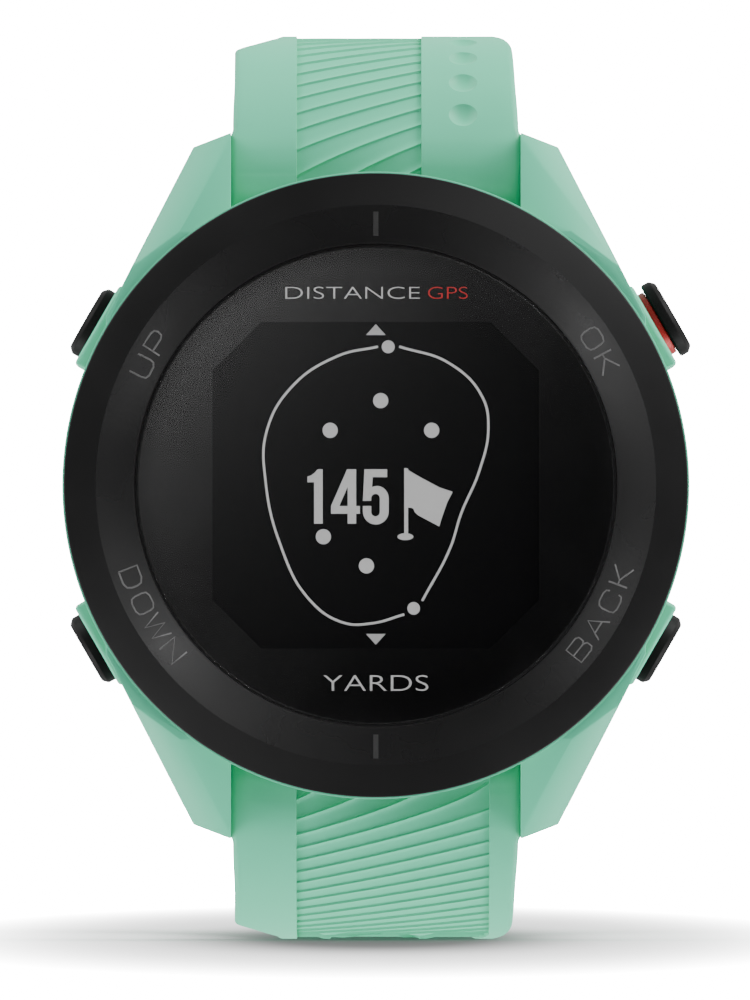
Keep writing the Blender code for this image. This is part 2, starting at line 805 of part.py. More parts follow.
# ---- Build ---------------------------------------------------------------------------------
clear_scene()
WATCH = new_collection("golf_gps_watch")
LOOKS = {
    "mint": material("mint_polymer", MINT, 0.55),
    "black": material("black_polymer", BLACK, 0.45),
    "dark": material("dark_polymer", DARK_GREY, 0.5),
    "glass": material("cover_glass", BLACK, 0.05),
    "screen": material("display", BLACK, 0.3),
    "clear": material("clear_guide", (0.8, 0.85, 0.85, 1.0), 0.2),
    "red": material("red_anodised", RED, 0.35),
    "rubber": material("seal_rubber", RUBBER_BLACK, 0.7),
    "steel": material("steel", STEEL, 0.3, 1.0),
    "gunmetal": material("gunmetal", (0.08, 0.08, 0.085, 1.0), 0.35, 1.0),
    "gold": material("gold_plating", GOLD, 0.3, 1.0),
    "silver": material("silver_foil", SILVER, 0.4, 0.8),
    "board": material("circuit_board", BOARD_GREEN, 0.5),
}

make_case(LOOKS["mint"])
make_bezel(LOOKS["black"])
make_front_stack(LOOKS)
make_electronics(LOOKS)
make_back(LOOKS)
for button_name, button_angle in BUTTON_ANGLES.items():
    make_button(button_name, button_angle, LOOKS)
make_upper_strap(LOOKS)
make_lower_strap(LOOKS)
make_spring_bar("upper", 1, LOOKS["steel"])
make_spring_bar("lower", -1, LOOKS["steel"])
make_keeper("fixed_keeper", FIXED_KEEPER_AT, LOOKS["mint"])
hang_from_bend_centre(make_keeper("sliding_keeper", SLIDING_KEEPER_AT, LOOKS["mint"]))
make_buckle(LOOKS)
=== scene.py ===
"""The finished look of a golf GPS watch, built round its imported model.

+X is the wearer's 3 o'clock, +Z is 12 o'clock and the dial faces -Y. The helpers take
millimetres and leave every piece at the origin, in metres, with its place in its mesh.
"""

import json
import math

import bpy
import numpy as np
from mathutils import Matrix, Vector


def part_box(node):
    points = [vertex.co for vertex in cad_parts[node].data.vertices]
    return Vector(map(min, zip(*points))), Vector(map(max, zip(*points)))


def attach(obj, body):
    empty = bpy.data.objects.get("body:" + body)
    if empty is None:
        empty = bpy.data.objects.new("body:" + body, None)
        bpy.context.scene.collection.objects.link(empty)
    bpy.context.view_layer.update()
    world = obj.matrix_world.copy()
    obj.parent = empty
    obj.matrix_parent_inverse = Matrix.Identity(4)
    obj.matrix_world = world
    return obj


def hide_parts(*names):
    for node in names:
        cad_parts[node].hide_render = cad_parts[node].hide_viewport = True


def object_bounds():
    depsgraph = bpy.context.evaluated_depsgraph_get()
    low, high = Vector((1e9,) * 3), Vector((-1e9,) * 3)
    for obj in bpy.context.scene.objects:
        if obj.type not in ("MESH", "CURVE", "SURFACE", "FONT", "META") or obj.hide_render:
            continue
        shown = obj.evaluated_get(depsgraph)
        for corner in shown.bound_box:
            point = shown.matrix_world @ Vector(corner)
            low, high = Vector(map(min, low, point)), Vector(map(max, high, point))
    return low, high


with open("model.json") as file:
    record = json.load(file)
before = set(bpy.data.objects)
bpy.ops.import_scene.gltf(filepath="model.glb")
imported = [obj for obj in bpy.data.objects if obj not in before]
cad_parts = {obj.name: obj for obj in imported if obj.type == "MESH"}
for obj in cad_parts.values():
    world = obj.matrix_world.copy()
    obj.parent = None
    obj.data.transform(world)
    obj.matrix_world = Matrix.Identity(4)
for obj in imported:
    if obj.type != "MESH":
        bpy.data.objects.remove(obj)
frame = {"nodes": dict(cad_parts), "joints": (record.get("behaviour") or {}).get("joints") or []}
cad_low, cad_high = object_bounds()

MM = 0.001
TURN_STEPS = 224
JOINTS = {joint["name"]: joint for joint in frame["joints"]}


def joint_place(name):
    """Where a joint lies, in millimetres."""
    return Vector(JOINTS[name]["pos_m"]) / MM


def node_front(name):
    """How far a node reaches towards the front, in millimetres (negative)."""
    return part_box(name)[0].y / MM


# ---- Sizes read from the frame ---------------------------------------------------------------
BAR = joint_place("upper_strap_hinge")
BEZEL_TOP = node_front("bezel_ring")
LENS_TOP = node_front("cover_lens")
BEZEL_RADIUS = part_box("bezel_ring")[1].x / MM
LENS_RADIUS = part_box("cover_lens")[1].x / MM
PANEL_TOP = node_front("display_panel")

# ---- Sizes that the frame doesn't state ------------------------------------------------------
CASE_RADIUS = BEZEL_RADIUS + 0.13
RIM_TOP, RIM_BOTTOM = -9.55, -8.6
CASE_BACK_RIM = -1.8
RIDGE_RADIUS = 19.5
CAVITY_RADIUS, SHELF_OPENING = 15.4, 14.9
ANTENNA_GROOVE = (17.4, 18.8)
GASKET_GROOVE = (15.73, 16.57)
LUG_GAP = 20.2
LUG_TIP_Z = 24.65
LUG_CORNER = (12.74, 23.64)
BUTTON_ANGLES = {"ok": 30.0, "up": 150.0, "down": 210.0, "back": 330.0}
BUTTON_HEIGHT = -5.4
BOSS_FACE, BOSS_HALF = 22.45, 3.2
SCREW_ANGLES = (55.0, 125.0, 235.0, 305.0)
SCREW_CIRCLE = 17.6
CONTACT_Z, CONTACT_PITCH = -9.5, 1.8
WINDOW_HALF, WINDOW_CUT = 11.37, 3.38
LENS_SWELL = 0.1
PRINT = 0.03  # thickness of a printed mark
PIN_HOLE = 0.68  # radius of the holes that take the buckle's pin

START_HEADING = math.radians(10.3)
EDGE_BEND = 11.7
UPPER_BEND, LOWER_BEND = 65.0, 120.0
UPPER_LENGTH, LOWER_LENGTH = 72.0, 118.0
BARREL = 1.86
NOSE = 7.0
FIRST_HOLE, HOLE_PITCH, HOLE_COUNT = 15.7, 8.4, 11
FIXED_KEEPER_AT = UPPER_LENGTH - 12.5
SLIDING_KEEPER_AT = UPPER_LENGTH - 27.0


# ---- Modelling helpers -----------------------------------------------------------------------
def clear_selection():
    if bpy.context.mode != "OBJECT":
        bpy.ops.object.mode_set(mode="OBJECT")
    bpy.ops.object.select_all(action="DESELECT")


def activate(obj):
    clear_selection()
    obj.select_set(True)
    bpy.context.view_layer.objects.active = obj
    return obj


def named(name):
    obj = bpy.context.object
    obj.name = obj.data.name = name
    return obj


def settle(obj, location=(0, 0, 0), rotation=(0, 0, 0)):
    """Turns a piece (degrees), moves it (millimetres) and puts its place into its mesh."""
    activate(obj)
    obj.rotation_euler = [math.radians(a) for a in rotation]
    obj.location = Vector(location) * MM
    bpy.ops.object.transform_apply(location=True, rotation=True, scale=True)
    return obj


def apply_modifier(obj, kind, **settings):
    activate(obj)
    modifier = obj.modifiers.new(kind.title(), kind)
    for key, value in settings.items():
        setattr(modifier, key, value)
    bpy.ops.object.modifier_apply(modifier=modifier.name)
    return obj


def bevel(obj, width, segments=2, angle=30):
    return apply_modifier(
        obj,
        "BEVEL",
        width=width * MM,
        segments=segments,
        limit_method="ANGLE",
        angle_limit=math.radians(angle),
        use_clamp_overlap=True,
    )


def smooth(obj, angle=32):
    activate(obj)
    bpy.ops.object.shade_smooth_by_angle(angle=math.radians(angle))
    return obj


def combine(target, tool, operation, solver="EXACT"):
    apply_modifier(target, "BOOLEAN", operation=operation, solver=solver, object=tool)
    bpy.data.objects.remove(tool)
    return target


def cut(target, tool, solver="EXACT"):
    return combine(target, tool, "DIFFERENCE", solver)


def join(target, tool):
    return combine(target, tool, "UNION")


def one_object(name, objects):
    """Puts several separate solids in one object."""
    clear_selection()
    for obj in objects:
        obj.select_set(True)
    bpy.context.view_layer.objects.active = objects[0]
    if len(objects) > 1:
        bpy.ops.object.join()
    return named(name)


def clean_edit_mesh():
    """Merges doubles and faces everything out, in edit mode, then leaves it."""
    bpy.ops.mesh.select_all(action="SELECT")
    bpy.ops.mesh.remove_doubles(threshold=0.001 * MM)
    bpy.ops.mesh.normals_make_consistent(inside=False)
    bpy.ops.object.mode_set(mode="OBJECT")


def turned(name, profile, steps=TURN_STEPS):
    """Spins a profile of (radius, height) about Z. One that stays off the axis is closed."""
    points = list(profile)
    if min(r for r, _ in points) > 0:
        points.append(points[0])
    clear_selection()
    bpy.ops.mesh.primitive_plane_add(size=MM)
    obj = named(name)
    bpy.ops.object.mode_set(mode="EDIT")
    bpy.ops.mesh.merge(type="CENTER")
    r, h = points[0]
    bpy.ops.transform.translate(value=(r * MM, 0, h * MM))
    for (r0, h0), (r1, h1) in zip(points, points[1:]):
        step = ((r1 - r0) * MM, 0, (h1 - h0) * MM)
        bpy.ops.mesh.extrude_region_move(TRANSFORM_OT_translate={"value": step})
    bpy.ops.mesh.select_all(action="SELECT")
    bpy.ops.mesh.spin(steps=steps, angle=2 * math.pi, center=(0, 0, 0), axis=(0, 0, 1))
    clean_edit_mesh()
    return obj


def on_case_axis(obj):
    """Lays a turned piece along the case's axis: its height becomes Y."""
    return settle(obj, rotation=(-90, 0, 0))


def on_button_axis(obj, angle):
    """Lays a turned piece along a button's axis: its height is the distance from the centre."""
    return settle(obj, (0, BUTTON_HEIGHT, 0), (0, 90 - angle, 0))


def block(name, low, high):
    clear_selection()
    low, high = Vector(low), Vector(high)
    bpy.ops.mesh.primitive_cube_add(size=1, location=(low + high) / 2 * MM)
    bpy.context.object.scale = (high - low) * MM
    bpy.ops.object.transform_apply(location=True, rotation=True, scale=True)
    return named(name)


def rod(name, radius, start, end, vertices=48):
    start, end = Vector(start) * MM, Vector(end) * MM
    clear_selection()
    bpy.ops.mesh.primitive_cylinder_add(
        vertices=vertices,
        radius=radius * MM,
        depth=(end - start).length,
        location=(start + end) / 2,
        rotation=(end - start).to_track_quat("Z", "Y").to_euler(),
    )
    bpy.ops.object.transform_apply(location=True, rotation=True, scale=True)
    return named(name)


def bisect(obj, point, normal):
    """Cuts away what lies beyond a plane and fills the cut."""
    activate(obj)
    bpy.ops.object.mode_set(mode="EDIT")
    bpy.ops.mesh.select_all(action="SELECT")
    bpy.ops.mesh.bisect(
        plane_co=Vector(point) * MM,
        plane_no=Vector(normal).normalized(),
        use_fill=True,
        clear_outer=True,
    )
    bpy.ops.object.mode_set(mode="OBJECT")
    return obj


def mirrored(obj, x_sign, z_sign):
    """Reflects a piece across X = 0 or Z = 0."""
    activate(obj)
    obj.scale = (x_sign, 1, z_sign)
    bpy.ops.object.transform_apply(location=False, rotation=False, scale=True)
    bpy.ops.object.mode_set(mode="EDIT")
    bpy.ops.mesh.select_all(action="SELECT")
    bpy.ops.mesh.normals_make_consistent(inside=False)
    bpy.ops.object.mode_set(mode="OBJECT")
    return obj


def copied(obj, name):
    activate(obj)
    bpy.ops.object.duplicate()
    return named(name)


def convert_to_mesh(name):
    """Turns the active curve or text into a clean mesh."""
    bpy.ops.object.convert(target="MESH")
    bpy.ops.object.mode_set(mode="EDIT")
    clean_edit_mesh()
    return named(name)


def curve_to_mesh(name, curve):
    """Puts a drawn curve in the scene as a mesh."""
    obj = bpy.data.objects.new(name, curve)
    bpy.context.scene.collection.objects.link(obj)
    activate(obj)
    return convert_to_mesh(name)


def pen_line(name, points, width, flowing=False):
    """A drawn line through points in X and Z, PRINT thick; its corners are sharp or flowing."""
    curve = bpy.data.curves.new(name, "CURVE")
    curve.dimensions = "3D"
    curve.bevel_depth = width / 2 * MM
    curve.bevel_resolution = 1
    curve.resolution_u = 10
    curve.use_fill_caps = True
    spline = curve.splines.new("BEZIER")
    spline.bezier_points.add(len(points) - 1)
    for knot, (x, z) in zip(spline.bezier_points, points):
        knot.co = (x * MM, 0, z * MM)
        knot.handle_left_type = knot.handle_right_type = "AUTO" if flowing else "VECTOR"
    if not flowing:
        curve.resolution_u = 1
    obj = curve_to_mesh(name, curve)
    obj.scale = (1, PRINT / width, 1)
    return settle(obj)


def edit_points(obj, move):
    """Passes the mesh's points, in millimetres, through a function of an array."""
    mesh = obj.data
    points = np.empty(len(mesh.vertices) * 3)
    mesh.vertices.foreach_get("co", points)
    points = move(points.reshape(-1, 3) / MM) * MM
    mesh.vertices.foreach_set("co", points.astype(np.float32).ravel())
    mesh.update()
    return obj


def flat_outline(name, outline, thickness, *holes):
    """A filled outline in X and Z at Y = 0, less its holes, given its thickness."""
    curve = bpy.data.curves.new(name, "CURVE")
    curve.dimensions = "2D"
    curve.fill_mode = "BOTH"
    curve.extrude = thickness / 2 * MM
    for loop in (outline, *holes):
        spline = curve.splines.new("POLY")
        spline.points.add(len(loop) - 1)
        for point, (x, z) in zip(spline.points, loop):
            point.co = (x * MM, z * MM, 0, 1)
        spline.use_cyclic_u = True
    return settle(curve_to_mesh(name, curve), rotation=(90, 0, 0))


def lettering(name, words, width, height, thickness):
    """Flat letters in X and Z, fitted to a size and centred, reading along +X."""
    clear_selection()
    bpy.ops.object.text_add()
    text = bpy.context.object.data
    text.body = words
    text.size = height * MM
    text.offset = -0.015 * MM
    text.extrude = thickness / 2 * MM
    text.resolution_u = 8
    letters = settle(convert_to_mesh(name), rotation=(90, 0, 0))

    def fitted(points):
        low, high = points.min(0), points.max(0)
        return (points - (low + high) / 2) * (width, thickness, height) / (high - low)

    return edit_points(letters, fitted)


def place_flat(obj, x, y, z, turn=0.0):
    """Turns a flat piece in its own plane (degrees, from +X towards +Z) and moves it."""
    return settle(obj, (x, y, z), (0, -turn, 0))


def finish(obj, body, material, *nodes, slot=None):
    """Gives a piece its material and its body, and hides the CAD nodes that it stands for."""
    obj.data.materials.clear()
    obj.data.materials.append(material)
    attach(obj, body)
    if nodes:
        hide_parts(*nodes)
    return obj


# ---- Finishes --------------------------------------------------------------------------------
def new_group(name, inputs, outputs):
    """A shader node group with float or colour inputs, and its two end nodes."""
    group = bpy.data.node_groups.new(name, "ShaderNodeTree")
    for label, value in inputs.items():
        kind = "NodeSocketColor" if isinstance(value, tuple) else "NodeSocketFloat"
        group.interface.new_socket(label, in_out="INPUT", socket_type=kind).default_value = value
    for label, kind in outputs.items():
        group.interface.new_socket(label, in_out="OUTPUT", socket_type=f"NodeSocket{kind}")
    return group, group.nodes.new("NodeGroupInput"), group.nodes.new("NodeGroupOutput")


def noise(tree, coordinate, detail, scale=None, scale_socket=None):
    node = tree.nodes.new("ShaderNodeTexNoise")
    node.inputs["Detail"].default_value = detail
    tree.links.new(coordinate, node.inputs["Vector"])
    if scale_socket:
        tree.links.new(scale_socket, node.inputs["Scale"])
    else:
        node.inputs["Scale"].default_value = scale
    return node.outputs["Fac"]


def calculate(tree, operation, a, b, c=None):
    node = tree.nodes.new("ShaderNodeMath")
    node.operation = operation
    for socket, value in zip(node.inputs, (a, b, c)):
        if isinstance(value, (int, float)):
            socket.default_value = value
        elif value is not None:
            tree.links.new(value, socket)
    return node.outputs["Value"]


def scaled(tree, colour, factor):
    """A colour times a factor."""
    node = tree.nodes.new("ShaderNodeVectorMath")
    node.operation = "SCALE"
    tree.links.new(colour, node.inputs[0])
    tree.links.new(factor, node.inputs["Scale"])
    return node.outputs["Vector"]


def moulded_skin_group():
    """Moulded plastic or silicone: soft mottling, fine grain and a roughness that wanders."""
    group, given, out = new_group(
        "moulded_skin",
        {
            "Colour": (0.5, 0.5, 0.5, 1.0),
            "Mottle": 0.04,
            "Grain Scale": 9000.0,
            "Roughness": 0.5,
            "Roughness Spread": 0.1,
        },
        {"Colour": "Color", "Roughness": "Float", "Height": "Float"},
    )
    place = group.nodes.new("ShaderNodeTexCoord").outputs["Object"]
    broad = noise(group, place, 3, scale=160.0)
    fine = noise(group, place, 2, scale_socket=given.outputs["Grain Scale"])
    wander = calculate(group, "SUBTRACT", broad, 0.5)
    speck = calculate(group, "SUBTRACT", fine, 0.5)
    both = calculate(group, "MULTIPLY_ADD", speck, 0.5, wander)
    swing = calculate(group, "MULTIPLY", both, given.outputs["Mottle"])
    factor = calculate(group, "MULTIPLY_ADD", swing, 2.0, 1.0)
    tint = scaled(group, given.outputs["Colour"], factor)
    spread = calculate(group, "MULTIPLY", wander, given.outputs["Roughness Spread"])
    rough = calculate(group, "MULTIPLY_ADD", spread, 2.0, given.outputs["Roughness"])
    group.links.new(tint, out.inputs["Colour"])
    group.links.new(rough, out.inputs["Roughness"])
    group.links.new(fine, out.inputs["Height"])
    return group


def brushed_group():
    """Metal with fine lines along one axis."""
    group, given, out = new_group(
        "brushed_lines",
        {"Colour": (0.5, 0.5, 0.5, 1.0), "Contrast": 0.2, "Roughness": 0.3},
        {"Colour": "Color", "Roughness": "Float", "Height": "Float"},
    )
    place = group.nodes.new("ShaderNodeTexCoord").outputs["Object"]
    stretch = group.nodes.new("ShaderNodeMapping")
    stretch.inputs["Scale"].default_value = (120.0, 6000.0, 6000.0)
    group.links.new(place, stretch.inputs["Vector"])
    lines = noise(group, stretch.outputs["Vector"], 3, scale=1.0)
    swing = calculate(group, "SUBTRACT", lines, 0.5)
    share = calculate(group, "MULTIPLY", swing, given.outputs["Contrast"])
    tint = scaled(group, given.outputs["Colour"], calculate(group, "ADD", share, 1.0))
    rough = calculate(group, "ADD", share, given.outputs["Roughness"])
    group.links.new(tint, out.inputs["Colour"])
    group.links.new(rough, out.inputs["Roughness"])
    group.links.new(lines, out.inputs["Height"])
    return group


def principled(name, slot_name, metallic=0.0, **constants):
    material = bpy.data.materials.new(name)
    material.use_nodes = True
    material["slot"] = slot_name
    shader = material.node_tree.nodes["Principled BSDF"]
    shader.inputs["Metallic"].default_value = metallic
    for key, value in constants.items():
        shader.inputs[key.replace("_", " ")].default_value = value
    return material, material.node_tree, shader


def wire_group(tree, shader, group, values, bump):
    """Places a finish group before the shader; bump is the height in millimetres."""
    node = tree.nodes.new("ShaderNodeGroup")
    node.node_tree = group
    for key, value in values.items():
        node.inputs[key].default_value = value
    tree.links.new(node.outputs["Colour"], shader.inputs["Base Color"])
    tree.links.new(node.outputs["Roughness"], shader.inputs["Roughness"])
    relief = tree.nodes.new("ShaderNodeBump")
    relief.inputs["Strength"].default_value = 1.0
    relief.inputs["Distance"].default_value = bump * MM
    tree.links.new(node.outputs["Height"], relief.inputs["Height"])
    tree.links.new(relief.outputs["Normal"], shader.inputs["Normal"])


def moulded(name, slot_name, colour, roughness, grain=9000.0, bump=0.002, mottle=0.04, **constants):
    material, tree, shader = principled(name, slot_name, **constants)
    values = {
        "Colour": (*colour, 1.0),
        "Mottle": mottle,
        "Grain Scale": grain,
        "Roughness": roughness,
        "Roughness Spread": 0.08,
    }
    wire_group(tree, shader, SKIN, values, bump)
    return material


def metal(name, slot_name, colour, roughness, contrast=0.25, bump=0.0008, metallic=1.0):
    material, tree, shader = principled(name, slot_name, metallic)
    values = {"Colour": (*colour, 1.0), "Contrast": contrast, "Roughness": roughness}
    wire_group(tree, shader, BRUSHED, values, bump)
    return material


def lens_glass():
    """Thin clear glass: mostly see-through, with its own gloss."""
    material, tree, shader = principled("lens_glass", "cover_glass", IOR=LENS_IOR)
    shader.inputs["Base Color"].default_value = (0.004, 0.004, 0.005, 1.0)
    place = tree.nodes.new("ShaderNodeTexCoord").outputs["Object"]
    smear = noise(tree, place, 3, scale=220.0)
    rough = calculate(tree, "MULTIPLY_ADD", smear, 0.012, LENS_ROUGHNESS)
    tree.links.new(rough, shader.inputs["Roughness"])
    shader.inputs["Alpha"].default_value = LENS_ALPHA
    return material


def circuit_green():
    """Solder mask with straight traces."""
    material, tree, shader = principled("solder_mask", "circuit_board")
    place = tree.nodes.new("ShaderNodeTexCoord").outputs["Object"]
    turn = tree.nodes.new("ShaderNodeMapping")
    turn.inputs["Rotation"].default_value = (math.radians(90), 0, 0)
    tree.links.new(place, turn.inputs["Vector"])
    traces = tree.nodes.new("ShaderNodeTexBrick")
    traces.inputs["Scale"].default_value = 900.0
    traces.inputs["Mortar Size"].default_value = 0.08
    traces.inputs["Color1"].default_value = (0.015, 0.13, 0.06, 1)
    traces.inputs["Color2"].default_value = (0.02, 0.16, 0.08, 1)
    traces.inputs["Mortar"].default_value = (0.06, 0.26, 0.12, 1)
    tree.links.new(turn.outputs["Vector"], traces.inputs["Vector"])
    tree.links.new(traces.outputs["Color"], shader.inputs["Base Color"])
    rough = calculate(tree, "MULTIPLY_ADD", traces.outputs["Fac"], 0.15, 0.4)
    tree.links.new(rough, shader.inputs["Roughness"])
    return material


LENS_IOR = 2.3
LENS_ALPHA = 0.15
LENS_ROUGHNESS = 0.05
MINT = (0.072, 0.56, 0.327)

SKIN = moulded_skin_group()
BRUSHED = brushed_group()
mint_case = moulded("mint_case", "mint_polymer", MINT, 0.5, grain=14000.0, bump=0.0012, mottle=0.03)
mint_strap = moulded(
    "mint_silicone",
    "strap_silicone",
    MINT,
    0.6,
    grain=11000.0,
    bump=0.0025,
    mottle=0.045,
    Sheen_Weight=0.12,
    Sheen_Roughness=0.5,
)
BLACK = (0.0025, 0.0024, 0.0026)
black_satin = moulded("black_satin", "black_polymer", BLACK, 0.34, bump=0.0012, Specular_IOR_Level=0.33)
black_grain = moulded(
    "black_grain", "black_polymer", BLACK, 0.28, 4200.0, bump=0.005, mottle=0.1, Specular_IOR_Level=0.33
)
black_border = moulded("black_border", "black_polymer", (0.0015, 0.0015, 0.0015), 0.09, bump=0)
screen = moulded("screen", "display", (0.0035, 0.0035, 0.0037), 0.6, bump=0, Specular_IOR_Level=0.0)
clear_sheet = moulded("clear_sheet", "clear_guide", (0.75, 0.8, 0.8), 0.15, bump=0.0004, mottle=0.02)
dark_matt = moulded("dark_matt", "dark_polymer", (0.03, 0.03, 0.032), 0.52, grain=7000.0, bump=0.004)
button_black = moulded(
    "button_black", "black_polymer", (0.008, 0.008, 0.008), 0.45, bump=0.001, Specular_IOR_Level=0.06
)
seal_rubber = moulded("seal_rubber", "seal_rubber", (0.02, 0.02, 0.02), 0.68, bump=0.003)
grey_print = moulded("grey_print", "display", (0.95, 0.95, 0.95), 0.5, bump=0.0003, mottle=0.02)
red_print = moulded("red_print", "display", (0.9, 0.02, 0.02), 0.5, bump=0.0003, mottle=0.02)
label_print = moulded("label_print", "black_polymer", (0.1, 0.1, 0.1), 0.5, bump=0.0003, mottle=0.05)
tick_print = moulded("tick_print", "black_polymer", (0.015, 0.015, 0.015), 0.5, bump=0.0003, mottle=0.05)
red_anodised = metal("red_anodised", "red_anodised", (0.5, 0.012, 0.009), 0.42, contrast=0.12, metallic=0.2)
steel = metal("brushed_steel", "steel", (0.42, 0.42, 0.43), 0.3)
gunmetal = metal("black_steel", "gunmetal", (0.075, 0.075, 0.08), 0.34)
gold = metal("gold_plate", "gold_plating", (0.83, 0.62, 0.28), 0.24, contrast=0.1)
foil = metal("silver_foil", "silver_foil", (0.62, 0.62, 0.64), 0.38, contrast=0.15)
board_green = circuit_green()


# ---- Case ------------------------------------------------------------------------------------
def make_lug():
    """The upper right lug: a block cut to its outline, then to its two sloping facets."""
    lug = block("lug", (LUG_GAP / 2, RIM_TOP + 0.1, 8.6), (18.8, -1.6, LUG_TIP_Z))
    x, z = LUG_CORNER
    bisect(lug, (x, 0, z), (LUG_TIP_Z - z, 0, x - LUG_GAP / 2))
    bisect(lug, (x, 0, z), (z - 12.7, 0, 18.3 - x))
    bisect(lug, (13.83, 0, 12.94), (-0.73, 0, -0.683))
    bisect(lug, (0, -6.4, LUG_TIP_Z), (0, -1, 0.436))
    crease_start, crease_end = Vector((10.2, -6.75, 23.85)), Vector((13.9, -9.6, 17.3))
    facet = (crease_end - crease_start).cross(Vector((0.871, 0.84, 0.492)))
    bisect(lug, crease_start, facet if facet.y < 0 else -facet)
    bevel(lug, 0.08)
    return cut(lug, block("recess", (9, -6.1, 18.6), (LUG_GAP / 2 + 0.1, 0, 26)))


def make_boss(angle):
    boss = block("boss", (-BOSS_HALF, -3.1, 17.0), (BOSS_HALF, 3.0, BOSS_FACE))
    bevel(boss, 0.3, segments=3)
    return on_button_axis(boss, angle)


def make_button_bore(angle):
    profile = [(0, 14), (1, 14), (1, 20.1), (1.75, 20.1), (1.75, 21.3), (2.75, 21.3), (2.75, 25), (0, 25)]
    return on_button_axis(turned("bore", profile, 64), angle)


def screw_place(angle):
    a = math.radians(angle)
    return SCREW_CIRCLE * math.cos(a), SCREW_CIRCLE * math.sin(a)


def make_case():
    inner, outer = ANTENNA_GROOVE
    low, high = GASKET_GROOVE
    profile = [
        (SHELF_OPENING, RIM_TOP), (inner, RIM_TOP), (inner, RIM_TOP + 0.5), (outer, RIM_TOP + 0.5),
        (outer, RIM_TOP), (CASE_RADIUS - 0.12, RIM_TOP), (CASE_RADIUS - 0.03, RIM_TOP + 0.03),
        (CASE_RADIUS, RIM_TOP + 0.12), (CASE_RADIUS, RIM_BOTTOM - 0.1),
        (CASE_RADIUS - 0.1, RIM_BOTTOM), (CASE_RADIUS - 0.5, RIM_BOTTOM + 0.3),
        (CASE_RADIUS - 0.62, RIM_BOTTOM + 0.6), (CASE_RADIUS - 1.1, -3.8),
        (CASE_RADIUS - 1.3, -3.0), (19.9, CASE_BACK_RIM - 0.1), (19.8, CASE_BACK_RIM),
        (high, CASE_BACK_RIM), (high, CASE_BACK_RIM - 0.6), (low, CASE_BACK_RIM - 0.6),
        (low, CASE_BACK_RIM), (CAVITY_RADIUS, CASE_BACK_RIM), (CAVITY_RADIUS, -8.75),
        (SHELF_OPENING, -8.75),
    ]
    case = on_case_axis(turned("case_shell", profile))
    half = LUG_GAP / 2
    pockets = [block("pocket", (-half, RIM_BOTTOM, z0), (half, 3.0, z0 + 8.4)) for z0 in (18.6, -27.0)]
    cut(case, bevel(one_object("pockets", pockets), 0.3, segments=3))
    lug = make_lug()
    lugs = [mirrored(copied(lug, "lug_copy"), x, z) for x, z in ((1, -1), (-1, 1), (-1, -1))]
    join(case, one_object("lugs", [lug, *lugs]))
    angles = BUTTON_ANGLES.values()
    join(case, one_object("bosses", [make_boss(angle) for angle in angles]))
    bores = [make_button_bore(angle) for angle in angles]
    for z in (BAR.z, -BAR.z):
        bores.append(rod("bar_hole", 0.52, (-11.4, BAR.y, z), (11.4, BAR.y, z), 24))
    for x, z in map(screw_place, SCREW_ANGLES):
        bores.append(rod("screw_hole", 0.66, (x, -6.2, z), (x, 0, z), 24))
    cut(case, one_object("bores", bores))
    finish(smooth(case), "watch_case", mint_case, "case")


def cone_height(radius):
    """The height of the bezel's inner ring, which falls from the ridge to the lens."""
    low = LENS_TOP - 0.05
    share = (RIDGE_RADIUS - radius) / (RIDGE_RADIUS - LENS_RADIUS - 0.25)
    return BEZEL_TOP + (low - BEZEL_TOP) * share


def make_bezel():
    """The outer ring falls away from the ridge; the inner ring has a grained face."""
    inner = LENS_RADIUS + 0.1
    base = RIM_TOP - 0.04
    profile = [
        (inner - 0.23, base), (inner - 0.23, base - 0.36), (inner, base - 0.36),
        (inner, LENS_TOP + 0.12),
        (inner + 0.05, cone_height(inner + 0.15) + 0.03),
        (inner + 0.15, cone_height(inner + 0.15)),
        (RIDGE_RADIUS - 0.06, cone_height(RIDGE_RADIUS - 0.06)),
        (RIDGE_RADIUS, BEZEL_TOP), (RIDGE_RADIUS + 0.08, BEZEL_TOP + 0.03),
        (BEZEL_RADIUS - 0.12, BEZEL_TOP + 0.72), (BEZEL_RADIUS - 0.05, BEZEL_TOP + 0.76),
        (BEZEL_RADIUS, BEZEL_TOP + 0.84), (BEZEL_RADIUS, base),
    ]
    bezel = on_case_axis(turned("bezel", profile, 320))
    smooth(bezel, 14)
    finish(bezel, "watch_case", black_satin, "bezel_ring")
    bezel.data.materials.append(black_grain)
    for face in bezel.data.polygons:
        x, y, z = face.center / MM
        if inner + 0.1 < math.hypot(x, z) < RIDGE_RADIUS - 0.03 and y < LENS_TOP + 0.1:
            face.material_index = 1


def lay_on_bezel(points):
    """Lowers a flat print onto the inner ring; its own thickness stays."""
    radius = np.hypot(points[:, 0], points[:, 2])
    points[:, 1] += cone_height(radius)
    return points


